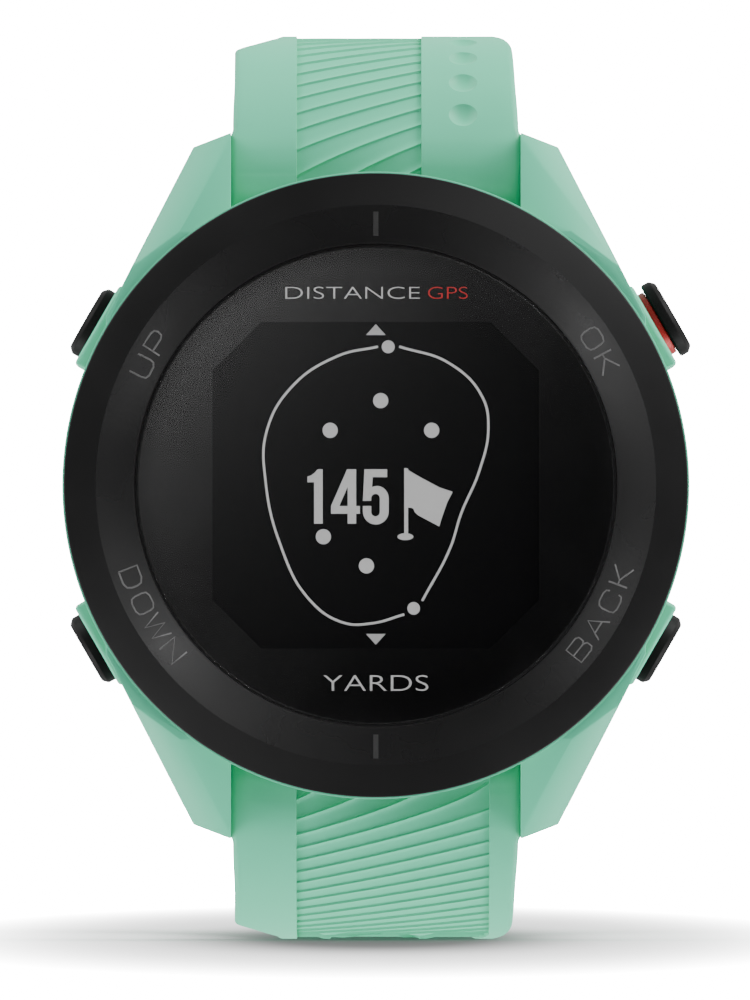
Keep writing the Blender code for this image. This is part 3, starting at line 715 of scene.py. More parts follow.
# Plain single-line capitals, each in a box one unit wide and high
STROKES = {
    "U": [[(0, 1), (0, 0.3), (0.06, 0.1), (0.25, 0), (0.75, 0), (0.94, 0.1), (1, 0.3), (1, 1)]],
    "P": [[(0, 0), (0, 1), (0.75, 1), (0.94, 0.92), (1, 0.72), (0.94, 0.5), (0.75, 0.42), (0, 0.42)]],
    "O": [[(0.28, 0), (0.06, 0.1), (0, 0.3), (0, 0.7), (0.06, 0.9), (0.28, 1), (0.72, 1), (0.94, 0.9)]
          + [(1, 0.7), (1, 0.3), (0.94, 0.1), (0.72, 0), (0.28, 0)]],
    "K": [[(0, 0), (0, 1)], [(0.95, 1), (0.25, 0.5), (0, 0.5)], [(0.25, 0.5), (1, 0)]],
    "D": [[(0, 0), (0, 1), (0.65, 1), (0.92, 0.88), (1, 0.65), (1, 0.35), (0.92, 0.12), (0.65, 0), (0, 0)]],
    "W": [[(-0.15, 1), (0.17, 0), (0.5, 1), (0.83, 0), (1.15, 1)]],
    "N": [[(0, 0), (0, 1), (1, 0), (1, 1)]],
    "B": [[(0, 0.52), (0.78, 0.52), (0.93, 0.62), (0.93, 0.9), (0.78, 1), (0, 1), (0, 0), (0.82, 0)]
          + [(1, 0.12), (1, 0.4), (0.82, 0.52)]],
    "A": [[(-0.05, 0), (0.5, 1), (1.05, 0)], [(0.16, 0.36), (0.84, 0.36)]],
    "C": [[(1, 0.75), (0.94, 0.92), (0.72, 1), (0.28, 1), (0.06, 0.9), (0, 0.7), (0, 0.3), (0.06, 0.1)]
          + [(0.28, 0), (0.72, 0), (0.94, 0.08), (1, 0.25)]],
}


def bezel_word(name, words, angle, outward):
    """A word in thin strokes round the inner ring, its tops pointing outward or inward."""
    radius, wide, high, gap = 18.2, 1.34, 1.36, 0.62
    spread = (len(words) - 1) * (wide + gap)
    sense = -1 if outward else 1
    letters = []
    for place, char in enumerate(words):
        lines = [
            pen_line("stroke", [((x - 0.5) * wide, (z - 0.5) * high) for x, z in line], 0.13)
            for line in STROKES[char]
        ]
        turn = angle + sense * math.degrees((place * (wide + gap) - spread / 2) / radius)
        a = math.radians(turn)
        upright = turn - 90 if outward else turn + 90
        letter = one_object("letter", lines)
        letters.append(place_flat(letter, radius * math.cos(a), 0, radius * math.sin(a), upright))
    word = edit_points(one_object(name, letters), lay_on_bezel)
    finish(word, "watch_case", label_print)


def make_bezel_prints():
    for name, words, angle, outward in (
        ("label_up", "UP", 150.0, True),
        ("label_ok", "OK", 31.0, True),
        ("label_down", "DOWN", 210.0, False),
        ("label_back", "BACK", -29.5, False),
    ):
        bezel_word(name, words, angle, outward)
    for name, sign in (("tick_twelve", 1), ("tick_six", -1)):
        low, high = sorted((17.35 * sign, 19.03 * sign))
        tick = block(name, (-0.18, -0.025, low), (0.18, 0.025, high))
        apply_modifier(tick, "BEVEL", width=0.01 * MM, segments=1)
        finish(edit_points(tick, lay_on_bezel), "watch_case", tick_print)


# ---- Display ---------------------------------------------------------------------------------
def cut_square(half, corner):
    near = half - corner
    return [
        (half, -near), (half, near), (near, half), (-near, half), (-half, near), (-half, -near),
        (-near, -half), (near, -half),
    ]


def swollen(radius, height):
    """A height on the lens, which swells in its middle."""
    return height - LENS_SWELL * (1 - (radius / (LENS_RADIUS - 0.14)) ** 2)


def swollen_face(height, steps=14):
    """The profile of a swollen disc, from its middle to its edge."""
    radii = [(LENS_RADIUS - 0.14) * i / steps for i in range(steps + 1)]
    return [(radius, swollen(radius, height)) for radius in radii]


def make_lens():
    profile = [
        *swollen_face(LENS_TOP + 1.0),
        (LENS_RADIUS - 0.06, LENS_TOP + 1.0), (LENS_RADIUS, LENS_TOP + 0.94),
        (LENS_RADIUS, LENS_TOP + 0.16), (LENS_RADIUS - 0.04, LENS_TOP + 0.05),
        *reversed(swollen_face(LENS_TOP)),
    ]
    lens = smooth(on_case_axis(turned("lens", profile, 320)), 20)
    finish(lens, "watch_case", lens_glass(), "cover_lens")


def make_display_border():
    """The black mask below the lens, open where the display shows."""
    top, rim = LENS_TOP + 1.015, LENS_RADIUS - 0.1
    profile = [
        *swollen_face(top),
        (rim, top), (rim, top + 0.03), (14.7, top + 0.03), (14.7, PANEL_TOP - 0.03),
        (0, PANEL_TOP - 0.03),
    ]
    border = on_case_axis(turned("display_border", profile, 160))
    window = flat_outline("window", cut_square(WINDOW_HALF, WINDOW_CUT), 3.0)
    cut(border, settle(window, (0, -9.7, 0)))
    finish(smooth(border), "watch_case", black_border, "display_frame")


PRINT_HEIGHT = PANEL_TOP - 0.02


def disc(name, x, z, radius, squash=1.0):
    """A small printed dot with a rounded rim."""
    dot = rod(name, radius, (0, -PRINT / 2, 0), (0, PRINT / 2, 0), 40)
    bevel(dot, 0.008, segments=1)
    dot.scale = (1, 1, squash)
    return settle(dot, (x, PRINT_HEIGHT, z))


def printed(name, outline):
    return settle(flat_outline(name, outline, PRINT), (0, PRINT_HEIGHT, 0))


def make_green():
    """The green's outline in two strokes, with a marker ring at each gap."""
    left = [
        (0.15, 9.66), (-2.65, 9.01), (-5.97, 6.74), (-7.64, 3.63), (-7.70, 0.42), (-6.64, -4.17),
        (-4.65, -7.94), (-2.32, -9.55), (-0.3, -9.62), (1.98, -8.99),
    ]
    right = [
        (1.63, 9.67), (5.11, 8.51), (7.40, 6.20), (7.84, 4.0), (7.22, 1.04), (5.95, -1.95),
        (5.17, -4.39), (3.23, -8.05),
    ]
    lines = [
        settle(pen_line("stroke", side, 0.2, flowing=True), (0, PRINT_HEIGHT, 0))
        for side in (left, right)
    ]
    dots = ((0.34, 5.90), (-3.18, 3.83), (3.89, 3.83), (-3.65, -3.58), (-0.65, -5.61))
    lines += [disc("dot", x, z, 0.53) for x, z in dots]
    lines += [disc("dot", 0.865, 9.65, 0.45), disc("dot", 2.64, -8.57, 0.44)]
    finish(one_object("green_outline", lines), "watch_case", grey_print)


def make_flag():
    pole = printed("pole", [(1.98, -3.39), (2.25, -3.39), (2.25, 1.19), (1.98, 1.19)])
    cloth = [
        (2.25, 1.06), (3.2, 0.51), (4.46, -0.16), (5.35, -0.45), (4.97, -1.2), (4.62, -2.2),
        (4.42, -2.87), (3.5, -2.38), (2.93, -2.08), (2.71, -1.86), (2.63, -1.65), (2.49, -1.57),
        (2.25, -1.55),
    ]
    pieces = [pole, printed("cloth", cloth), disc("cup", 2.06, -3.58, 0.55, 0.44)]
    finish(one_object("pin_flag", pieces), "watch_case", grey_print)


ONE = [
    (-4.06, 1.12), (-3.70, 1.12), (-3.70, -2.67), (-4.30, -2.67), (-4.30, 0.21), (-4.76, 0.21),
    (-4.76, 0.62), (-4.54, 0.68), (-4.25, 0.88),
]
FOUR = [
    (-2.0, 1.12), (-1.37, 1.12), (-1.37, -1.44), (-1.11, -1.44), (-1.11, -1.98), (-1.37, -1.98),
    (-1.37, -2.67), (-1.96, -2.67), (-1.96, -1.98), (-3.12, -1.98), (-3.12, -1.44),
]
FOUR_HOLE = [(-2.54, -1.44), (-1.96, -0.11), (-1.96, -1.44)]


def five():
    """The figure 5: a hook above a bowl drawn with two round turns."""
    outer = [(-0.79, 1.12), (0.79, 1.12), (0.79, 0.57), (-0.22, 0.57), (-0.27, -0.29)]
    outer += arc(0.08, -0.92, 0.82, 0.88, 115, 0, 8)
    outer += arc(0.0, -1.83, 0.9, 0.9, 0, -180, 14)
    outer += [(-0.90, -1.44), (-0.32, -1.44)]
    outer += arc(-0.02, -1.86, 0.3, 0.3, 180, 360, 10)
    outer += arc(-0.02, -0.9, 0.3, 0.3, 0, 180, 10)
    return outer + [(-0.32, -1.08), (-0.90, -1.08)]


def arc(x, z, x_radius, z_radius, start, end, steps):
    turns = [math.radians(start + (end - start) * i / steps) for i in range(steps + 1)]
    return [(x + x_radius * math.cos(a), z + z_radius * math.sin(a)) for a in turns]


def make_readout():
    four = settle(flat_outline("four", FOUR, PRINT, FOUR_HOLE), (0, PRINT_HEIGHT, 0))
    digits = [printed("one", ONE), four, printed("five", five())]
    finish(one_object("distance_digits", digits), "watch_case", grey_print)
    arrows = [
        printed("arrow", [(-0.68, 10.47), (0.68, 10.47), (0, 11.23)]),
        printed("arrow", [(-0.68, -10.35), (0.68, -10.35), (0, -11.10)]),
    ]
    finish(one_object("menu_arrows", arrows), "watch_case", grey_print)


def lay_on_lens(points):
    radius = np.hypot(points[:, 0], points[:, 2])
    points[:, 1] = swollen(radius, points[:, 1])
    return points


def make_lens_words():
    """Plain words printed on the black border above and below the display."""
    for name, words, x, z, material, width, height in (
        ("word_distance", "DISTANCE", -1.62, 13.4, grey_print, 9.36, 0.83),
        ("word_gps", "GPS", 5.02, 13.4, red_print, 2.76, 0.83),
        ("word_yards", "YARDS", 0.0, -13.77, grey_print, 7.3, 1.1),
    ):
        word = place_flat(lettering(name, words, width, height, 0.01), x, LENS_TOP + 1.0075, z)
        finish(edit_points(word, lay_on_lens), "watch_case", material)


# ---- Back ------------------------------------------------------------------------------------
def make_back():
    """The cover lies on the wrist: a shallow dish with screws and a charging socket."""
    seat = CASE_BACK_RIM + 0.05
    profile = [
        (0, seat), (18.92, seat), (19.0, seat + 0.08), (19.0, -1.16), (18.9, -1.02), (17.2, -0.32),
        (16.8, -0.2), (15.8, -0.02), (15.5, 0), (13.62, 0), (13.5, -0.1), (13.5, -0.22),
        (13.2, -0.22), (13.2, -0.1), (13.08, 0), (0, 0),
    ]
    cover = on_case_axis(turned("case_back", profile))
    places = [screw_place(angle) for angle in SCREW_ANGLES]
    half_row = CONTACT_PITCH * 2 + 0.5
    low, high = (-half_row, -1.1, CONTACT_Z - 1.9), (half_row, 1, CONTACT_Z + 1.9)
    wide = [rod("counterbore", 1.45, (x, -1.25, z), (x, 1, z), 48) for x, z in places]
    wide.append(bevel(block("socket", low, high), 0.35, segments=3))
    cut(cover, one_object("wide_recesses", wide))
    holes = [rod("clearance", 0.75, (x, -3, z), (x, 1, z), 32) for x, z in places]
    for i in range(4):
        x = (i - 1.5) * CONTACT_PITCH
        holes.append(rod("contact_hole", 0.5, (x, -3, CONTACT_Z), (x, 1, CONTACT_Z), 32))
    cut(cover, one_object("holes", holes))
    finish(smooth(bevel(cover, 0.05, segments=1, angle=50)), "watch_case", dark_matt, "back_cover")


# ---- Buttons ---------------------------------------------------------------------------------
def make_button(name, angle):
    """A push button: a stem in its bore and a cap with a rounded rim and a shallow dish."""
    if name == "ok":
        profile = [
            (0, 15.04), (0.9, 15.04), (0.9, 22.95), (2.74, 22.95), (2.84, 23.05), (2.84, 23.5),
            (2.8, 23.62), (2.56, 23.88), (2.44, 23.95), (2.2, 23.95), (2.12, 23.9), (0, 23.84),
        ]
    else:
        profile = [
            (0, 15.04), (0.9, 15.04), (0.9, 22.0), (2.5, 22.0), (2.6, 22.1), (2.6, 22.9),
            (2.57, 23.02), (2.3, 23.29), (2.18, 23.35), (2.0, 23.35), (1.92, 23.3), (0, 23.25),
        ]
    cap = on_button_axis(turned(f"{name}_push_button", profile, 96), angle)
    finish(smooth(cap, 24), f"{name}_button", button_black, f"{name}_button")
    if name != "ok":
        return
    ring = [
        (1.0, 22.0), (2.34, 22.0), (2.4, 22.06), (2.4, 22.84), (2.34, 22.9), (1.0, 22.9),
    ]
    collar = smooth(on_button_axis(turned("red_collar", ring, 96), angle), 24)
    finish(collar, "ok_button", red_anodised, "ok_button_collar")


# ---- Straps ----------------------------------------------------------------------------------
# Distance along the strap, edge to the left, edge to the right, thickness
STRAP_SECTIONS = np.array(
    [
        (0.0, 9.9, 9.9, 3.6), (3.0, 9.9, 9.9, 3.3), (8.0, 9.9, 9.75, 2.7), (11.6, 9.9, 9.6, 2.5),
        (12.4, 8.85, 9.55, 2.48), (13.1, 8.15, 9.45, 2.45), (14.2, 7.3, 9.2, 2.4),
        (15.4, 6.9, 8.7, 2.4), (17.5, 7.0, 8.4, 2.4), (24.0, 7.3, 7.9, 2.4), (32.0, 7.4, 7.6, 2.4),
        (200.0, 7.4, 7.6, 2.4),
    ]
)
PANEL_LEFT = -5.55
PANEL_DEPTH = 0.13
BARREL_ROLL = 0.55  # how far the outer face drops as it rolls over the bar
EDGE_ROUND = 0.45
# The strap widens between the lugs; the barrel's ends reach behind their front edges
SHOULDER, FLARE = 0.1, 0.15
FINE_STEPS = (0, 0.06, 0.14, 0.24, 0.36, 0.48, 0.7, 0.93)
COARSE_STEPS = (0, 0.22, 0.48, 0.93)
UPPER_GROOVES = {
    "pitch": 1.14,
    "slope": 0.30,
    "zero": 3.712,
    "crowd": 0.45,
    "reach": 3.0,
    "panel_right": 3.2,
    "last": UPPER_LENGTH - 6.0,
}
LOWER_GROOVES = {
    "pitch": 0.925,
    "slope": -0.243,
    "zero": 4.999,
    "crowd": 0.60,
    "reach": 1.5,
    "panel_right": 7.94,
    "last": LOWER_LENGTH - 8.0,
}


def station(s, bend):
    """Y, Z and heading of a strap's middle line, from the bar."""
    edge_length = (math.pi / 2 - START_HEADING) * EDGE_BEND
    heading = START_HEADING + np.clip(s, 0, edge_length) / EDGE_BEND
    y = EDGE_BEND * (math.cos(START_HEADING) - np.cos(heading))
    z = EDGE_BEND * (np.sin(heading) - math.sin(START_HEADING))
    before = np.minimum(s, 0)
    after = np.maximum(s - edge_length, 0) / bend
    y = y + before * math.sin(START_HEADING) + bend * np.sin(after)
    z = z + before * math.cos(START_HEADING) - bend * (1 - np.cos(after))
    return y, z, heading + after


def eased(t):
    t = np.clip(t, 0, 1)
    return t * t * (3 - 2 * t)


def groove_count(s, grooves):
    """Grooves lie closer together near the bar: this evens out their distances."""
    near, reach = grooves["crowd"], grooves["reach"]
    past = np.maximum(s, 0)
    return np.where(s > 0, s + near * reach * (np.exp(-past / reach) - 1), s * (1 - near))


def groove_shape(phase, s, grooves):
    """How deep a groove is: a rounded crest, a flat floor and a steep wall."""
    p = phase - np.floor(phase + 1e-6)
    slope = 1 - (1 - np.clip(p / 0.38, 0, 1)) ** 2
    wall = np.clip((1 - p) / 0.07, 0, 1)
    deepest = 0.15 * (1 + 0.8 * np.exp(-((s / 1.8) ** 2)))
    fade = np.clip(1 + s, 0, 1) * eased((grooves["last"] - s) / 4)
    return deepest * fade * np.minimum(slope, wall)


def section_walk():
    """The columns round a strap's section: (region, share of it) from the upper left corner."""
    walk = [("left band", f) for f in np.linspace(0, 1, 7)]
    walk += [("panel", f) for f in np.linspace(0, 1, 35)]
    walk += [("right band", f) for f in np.linspace(0, 1, 7)[:-1]]
    walk += [("right edge", f) for f in np.linspace(0, 1, 13)[:-1]]
    walk += [("underside", f) for f in np.linspace(0, 1, 15)[:-1]]
    walk += [("left edge", f) for f in np.linspace(0, 1, 13)]
    return walk


def strap_rows(length, grooves):
    """Groove counts at which the skin has a row, finer where the strap faces the wearer."""
    start = math.floor((-6 - grooves["zero"]) / grooves["pitch"])
    end = math.ceil((length + 6 - grooves["zero"]) / grooves["pitch"])
    fine_end = (34 - grooves["zero"]) / grooves["pitch"]
    return np.array(
        [n + p for n in range(start, end) for p in (FINE_STEPS if n < fine_end else COARSE_STEPS)]
    )


def strap_skin(name, bend, length, grooves, nose=0.0, relief=None):
    """The strap's whole surface: one grid wrapped round the section and bent along its line."""
    walk = section_walk()
    counts = strap_rows(length, grooves)
    columns, rows = len(walk), len(counts)
    clear_selection()
    bpy.ops.mesh.primitive_grid_add(x_subdivisions=columns - 1, y_subdivisions=rows - 1, size=2 * MM)
    skin = named(name)

    region = np.array([part for part, _ in walk])
    share = np.array([f for _, f in walk])
    panel_width = grooves["panel_right"] - PANEL_LEFT
    across = np.where(np.isin(region, ("right band", "right edge")), 1.0, 0.0)
    across = np.where(region == "panel", share, across)
    across = np.where(region == "underside", 1 - share, across)
    lean = grooves["slope"] * across * panel_width
    table_s = np.linspace(-8, length + 12, 6000)
    table_g = groove_count(table_s, grooves)
    wanted = counts[:, None] * grooves["pitch"] + grooves["zero"] + lean[None, :]
    s = np.interp(wanted, table_g, table_s)
    s = np.clip(s, -BARREL + 0.01, length)
    phase = (groove_count(s, grooves) - grooves["zero"] - lean) / grooves["pitch"]

    left = np.interp(s, STRAP_SECTIONS[:, 0], STRAP_SECTIONS[:, 1])
    right = np.interp(s, STRAP_SECTIONS[:, 0], STRAP_SECTIONS[:, 2])
    barrel = np.sqrt(np.maximum(BARREL**2 - s**2, 0))
    half = np.where(s > 0, np.interp(s, STRAP_SECTIONS[:, 0], STRAP_SECTIONS[:, 3]) / 2, 0)
    half = np.maximum(half, barrel)
    roll = BARREL_ROLL * np.clip((2.8 - s) / 2.8, 0, 1) ** 2
    top = np.where(s > 0, half - roll, half * (1 - BARREL_ROLL / BARREL))
    bottom = -half
    corner = np.minimum(EDGE_ROUND, 0.45 * (top - bottom))
    panel_right = np.minimum(grooves["panel_right"], right - 1.4)

    x, h = np.zeros_like(s), top.copy()
    where = region == "left band"
    x[:, where] = (-left + corner + (PANEL_LEFT + left - corner) * share)[:, where]
    where = region == "panel"
    step = 0.03
    x[:, where] = (PANEL_LEFT + step + (panel_right - PANEL_LEFT - 2 * step) * share)[:, where]
    sunk = PANEL_DEPTH * eased((grooves["last"] + 2 - s) / 2) + groove_shape(phase, s, grooves)
    h[:, where] -= sunk[:, where]
    where = region == "right band"
    x[:, where] = (panel_right + (right - corner - panel_right) * share)[:, where]
    where = region == "underside"
    x[:, where] = (right - corner - (right + left - 2 * corner) * share)[:, where]
    h[:, where] = bottom[:, where]
    for side, edge, start in (("right edge", right - corner, 90), ("left edge", -left + corner, -90)):
        where = region == side
        angle = np.radians(start - 180 * share)
        x[:, where] = (edge + corner * np.cos(angle))[:, where]
        upper = np.sin(angle) > 0
        middle = np.where(upper, top - corner, bottom + corner)
        h[:, where] = (middle + corner * np.sin(angle))[:, where]
    flare = SHOULDER * eased((8 - s) / 4) + FLARE * eased((3.6 - s) / 0.5)
    x += np.where(x > 9, flare, np.where(x < -9, -flare, 0))
    if relief:
        outer = np.isin(region, ("left band", "panel", "right band"))
        h[:, outer] += relief(x, s)[:, outer]
    if nose:
        x *= np.sqrt(np.clip(1 - (np.maximum(s - length + nose, 0) / nose) ** 2, 0.02, 1))
    y, z, heading = station(s, bend)
    y, z = BAR.y + y - np.cos(heading) * h, BAR.z + z + np.sin(heading) * h

    def wrap(points):
        i = np.rint((points[:, 0] + 1) / 2 * (columns - 1)).astype(int)
        j = np.rint((points[:, 1] + 1) / 2 * (rows - 1)).astype(int)
        return np.stack([x[j, i], y[j, i], z[j, i]], axis=1)

    edit_points(skin, wrap)
    close_skin(skin)
    return skin


def close_skin(skin):
    """Merges the seam, then fills the two ends."""
    activate(skin)
    bpy.ops.object.mode_set(mode="EDIT")
    bpy.ops.mesh.select_all(action="SELECT")
    bpy.ops.mesh.remove_doubles(threshold=0.002 * MM)
    bpy.ops.mesh.dissolve_degenerate(threshold=0.001 * MM)
    bpy.ops.mesh.select_all(action="DESELECT")
    bpy.ops.mesh.select_mode(type="EDGE")
    bpy.ops.mesh.select_non_manifold(
        extend=False, use_wire=False, use_multi_face=False, use_verts=False
    )
    bpy.ops.mesh.fill_holes(sides=0)
    bpy.ops.mesh.select_mode(type="VERT")
    bpy.ops.mesh.select_all(action="SELECT")
    bpy.ops.mesh.normals_make_consistent(inside=False)
    bpy.ops.object.mode_set(mode="OBJECT")


def put_on_strap(obj, s, bend):
    """Places a piece made in a station's own frame: Y along the strap and Z out of it."""
    y, z, heading = station(s, bend)
    return settle(obj, (0, BAR.y + float(y), BAR.z + float(z)), (90 - math.degrees(heading), 0, 0))


def slot_tool(s):
    """A rounded block that opens one slot."""
    tool = bevel(block("slot_tool", (-3.25, -1.25, -3), (3.25, 1.25, 3)), 0.7, segments=5)
    for point in tool.data.vertices:
        point.co.z *= 2
    return put_on_strap(tool, s, LOWER_BEND)


def dimple_tool(s):
    """A ball that leaves one round dimple in the upper strap's wide band."""
    top = np.interp(s, STRAP_SECTIONS[:, 0], STRAP_SECTIONS[:, 3]) / 2
    clear_selection()
    bpy.ops.mesh.primitive_uv_sphere_add(segments=48, ring_count=40, radius=1.506 * MM)
    return put_on_strap(settle(named("dimple_tool"), (6.1, 0, top + 1.126)), s, UPPER_BEND)


def slot_relief(x, s):
    """A low lip round the ends of each slot."""
    lift = np.zeros_like(s)
    for i in range(HOLE_COUNT):
        along = np.maximum(np.abs(s - FIRST_HOLE - i * HOLE_PITCH) - 0.9, 0)
        away = np.hypot(np.maximum(np.abs(x) - 3.3, 0), along)
        ends = eased((np.abs(x) - 1.6) / 1.2)
        lift = np.maximum(lift, 0.15 * ends * eased(1 - (away - 0.25) / 0.5))
    return lift


def bar_bore():
    return rod("bar_bore", 0.8, (-12, BAR.y, BAR.z), (12, BAR.y, BAR.z), 40)


def lever_recess():
    low = (4.4, BAR.y + 0.2, BAR.z - 1.05)
    return bevel(block("recess", low, (8.6, BAR.y + 4.0, BAR.z + 1.05)), 0.25, segments=2)


def make_upper_strap():
    strap = strap_skin("strap_upper_half", UPPER_BEND, UPPER_LENGTH, UPPER_GROOVES)
    knuckle = bevel(rod("knuckle", 1.35, (-7.35, 0, 0), (7.55, 0, 0), 48), 0.15, angle=60)
    combine(strap, put_on_strap(knuckle, UPPER_LENGTH, UPPER_BEND), "UNION", "MANIFOLD")
    hole = rod("pin_hole", PIN_HOLE, (-12, 0, 0), (12, 0, 0), 40)
    slot = bevel(block("tang_slot", (-3.1, -4.2, -4), (3.1, 6, 4)), 0.5, segments=3)
    for tool in (hole, slot):
        cut(strap, put_on_strap(tool, UPPER_LENGTH, UPPER_BEND), "MANIFOLD")
    dimples = one_object("dimples", [dimple_tool(4.6 + 2.75 * i) for i in range(6)])
    for tool in (bar_bore(), lever_recess(), dimples):
        cut(strap, tool, "MANIFOLD")
    finish(smooth(strap, 38), "upper_strap", mint_strap, "upper_strap")


def make_lower_strap():
    strap = strap_skin(
        "strap_lower_half", LOWER_BEND, LOWER_LENGTH, LOWER_GROOVES, nose=NOSE, relief=slot_relief
    )
    slots = [slot_tool(FIRST_HOLE + i * HOLE_PITCH) for i in range(HOLE_COUNT)]
    for tool in (one_object("slots", slots), bar_bore(), lever_recess()):
        cut(strap, tool, "MANIFOLD")
    mirrored(strap, 1, -1)
    finish(smooth(strap, 38), "lower_strap", mint_strap, "lower_strap")


def make_keeper(name, node, body, s):
    """A moulded loop with soft corners, thicker in the middle of its face."""
    low, high, inner, half = -1.3, 3.65, 7.75, 2.5
    loop = block("loop", (-inner - 1.3, -half, low - 1.3), (inner + 1.3, half, high + 1.3))
    bevel(loop, 0.5, segments=4)
    room = bevel(block("room", (-inner, -half - 1, low), (inner, half + 1, high)), 0.4, segments=3)
    cut(loop, room)
    bevel(loop, 0.12, segments=2, angle=60)
    loop.name = loop.data.name = name
    put_on_strap(loop, s, UPPER_BEND)
    finish(smooth(loop, 34), body, mint_strap, node)


# ---- Buckle ----------------------------------------------------------------------------------
def make_buckle():
    """A one-piece frame: two arms on the pin and a far bar with a rest for the tongue."""
    far, window_end = 11.55, 9.65
    buckle = block("buckle_frame", (-10.3, -1.5, -1), (10.3, far, 1))
    bevel(buckle, 0.6, segments=4)
    window = bevel(block("window", (-8.4, -3, -3), (8.4, window_end, 3)), 0.8, segments=4)
    cut(buckle, window)
    cut(buckle, rod("pin_hole", PIN_HOLE, (-12, 0, 0), (12, 0, 0), 40))
    rest = bevel(block("rest", (-3, window_end - 1, 0.45), (3, far + 1, 3)), 0.3, segments=3)
    cut(buckle, rest)
    bevel(buckle, 0.1, segments=2, angle=50)
    put_on_strap(buckle, UPPER_LENGTH, UPPER_BEND)
    finish(smooth(buckle, 34), "strap_buckle", gunmetal, "strap_buckle")


def make_tongue():
    tongue = bevel(block("buckle_tongue", (-2.6, 0.2, 0.5), (2.6, 11.6, 1.5)), 0.3, segments=3)
    join(tongue, rod("eye", 1.3, (-2.6, 0, 0), (2.6, 0, 0), 48))
    cut(tongue, rod("eye_hole", PIN_HOLE, (-5, 0, 0), (5, 0, 0), 40))
    bevel(tongue, 0.08, segments=2, angle=50)
    put_on_strap(tongue, UPPER_LENGTH, UPPER_BEND)
    finish(smooth(tongue, 34), "buckle_tang", gunmetal, "buckle_tang")


# ---- Parts that keep their CAD shape ---------------------------------------------------------
def dress_cad_nodes():
    """Every CAD part that stays shown gets its own finish."""
    finishes = {
        "display_panel": screen,
        "light_guide": clear_sheet,
        "gps_antenna": gold,
        "inner_chassis": dark_matt,
        "main_board": board_green,
        "gps_receiver_shield": foil,
        "processor_chip": dark_matt,
        "battery_cell": foil,
        "buckle_pin": steel,
    }
    endings = {
        "gasket": seal_rubber,
        "seal": seal_rubber,
        "clip": steel,
        "switch": foil,
        "tube": steel,
        "tip": steel,
        "pin": steel,
    }
    for name, node in frame["nodes"].items():
        if node.hide_render:
            continue
        finish_wanted = finishes.get(name) or endings.get(name.rsplit("_", 1)[-1])
        if name.startswith("back_screw"):
            finish_wanted = steel
        if name.startswith("charge_contact"):
            finish_wanted = gold
        for place in node.material_slots:
            place.material = finish_wanted


make_case()
make_bezel()
make_bezel_prints()
make_lens()
make_display_border()
make_green()
make_flag()
make_readout()
make_lens_words()
make_back()
for button_name, button_angle in BUTTON_ANGLES.items():
    make_button(button_name, button_angle)
make_upper_strap()
make_lower_strap()
make_keeper("fixed_loop", "fixed_keeper", "upper_strap", FIXED_KEEPER_AT)
make_keeper("sliding_loop", "sliding_keeper", "sliding_keeper", SLIDING_KEEPER_AT)
make_buckle()
make_tongue()
dress_cad_nodes()


# ---- Stage, light and camera -----------------------------------------------------------------
def ramp(tree, value, low, high, start, end):
    """Eases from start to end as a value goes from low to high."""
    node = tree.nodes.new("ShaderNodeMapRange")
    node.interpolation_type = "SMOOTHSTEP"
    for key, number in (("From Min", low), ("From Max", high), ("To Min", start), ("To Max", end)):
        node.inputs[key].default_value = number
    tree.links.new(value, node.inputs["Value"])
    return node.outputs["Result"]


def make_floor():
    """A wide pale floor under the lowest point. It glows brighter away from the watch, which leaves a
    painted soft shadow round it, and its colour is made darker where the strap meets it, a painted shadow.
    """
    clear_selection()
    bpy.ops.mesh.primitive_plane_add(size=6, location=(0, 0, cad_low.z))
    bpy.ops.object.transform_apply(location=True, rotation=True, scale=True)
    floor = named("studio_floor")
    material, tree, shader = principled("pale_floor", "none")
    values = {
        "Colour": (0.7, 0.7, 0.7, 1.0),
        "Mottle": 0.01,
        "Grain Scale": 300.0,
        "Roughness": 0.8,
        "Roughness Spread": 0.05,
    }
    wire_group(tree, shader, SKIN, values, 0.001)
    place = tree.nodes.new("ShaderNodeTexCoord").outputs["Object"]

    def distance(centre, reach):
        """How far a point lies from a centre, as a share of a reach in X and Y."""
        stretch = tree.nodes.new("ShaderNodeMapping")
        stretch.vector_type = "TEXTURE"
        stretch.inputs["Location"].default_value = (*centre, cad_low.z)
        stretch.inputs["Scale"].default_value = (*reach, 1)
        tree.links.new(place, stretch.inputs["Vector"])
        length = tree.nodes.new("ShaderNodeVectorMath")
        length.operation = "LENGTH"
        tree.links.new(stretch.outputs["Vector"], length.inputs[0])
        return length.outputs["Value"]

    # Painted light: the floor's emission grows with this distance, so it glows to white far off and stays
    # dim round the watch as a painted soft shadow band.
    away = distance((0, 0.033), (0.0048, 0.046))
    # Painted shadow: the base colour is scaled down towards the spot where the strap meets the floor.
    painted_shadow_distance = distance((0, 0.0074), (0.0105, 0.0957))
    painted_shadow_factor = ramp(tree, painted_shadow_distance, 0.6, 1.75, 0.05, 1.0)
    painted_shadow_colour = scaled(tree, shader.inputs["Base Color"].links[0].from_socket, painted_shadow_factor)
    tree.links.new(painted_shadow_colour, shader.inputs["Base Color"])
    # The glow that paints the light: emission strength rises with the distance from the watch.
    growth = calculate(tree, "POWER", math.e, calculate(tree, "MINIMUM", away, 8.0))
    white = calculate(tree, "MULTIPLY", growth, 0.0147)
    tree.links.new(white, shader.inputs["Emission Strength"])
    shader.inputs["Emission Color"].default_value = (1, 1, 1, 1)
    floor.data.materials.append(material)
    floor.visible_diffuse = floor.visible_glossy = floor.visible_shadow = False


def off_axis(around, off):
    """A unit direction: degrees round the dial, and degrees off its axis."""
    a, b = math.radians(around), math.radians(off)
    return Vector((math.sin(b) * math.cos(a), -math.cos(b), math.sin(b) * math.sin(a)))


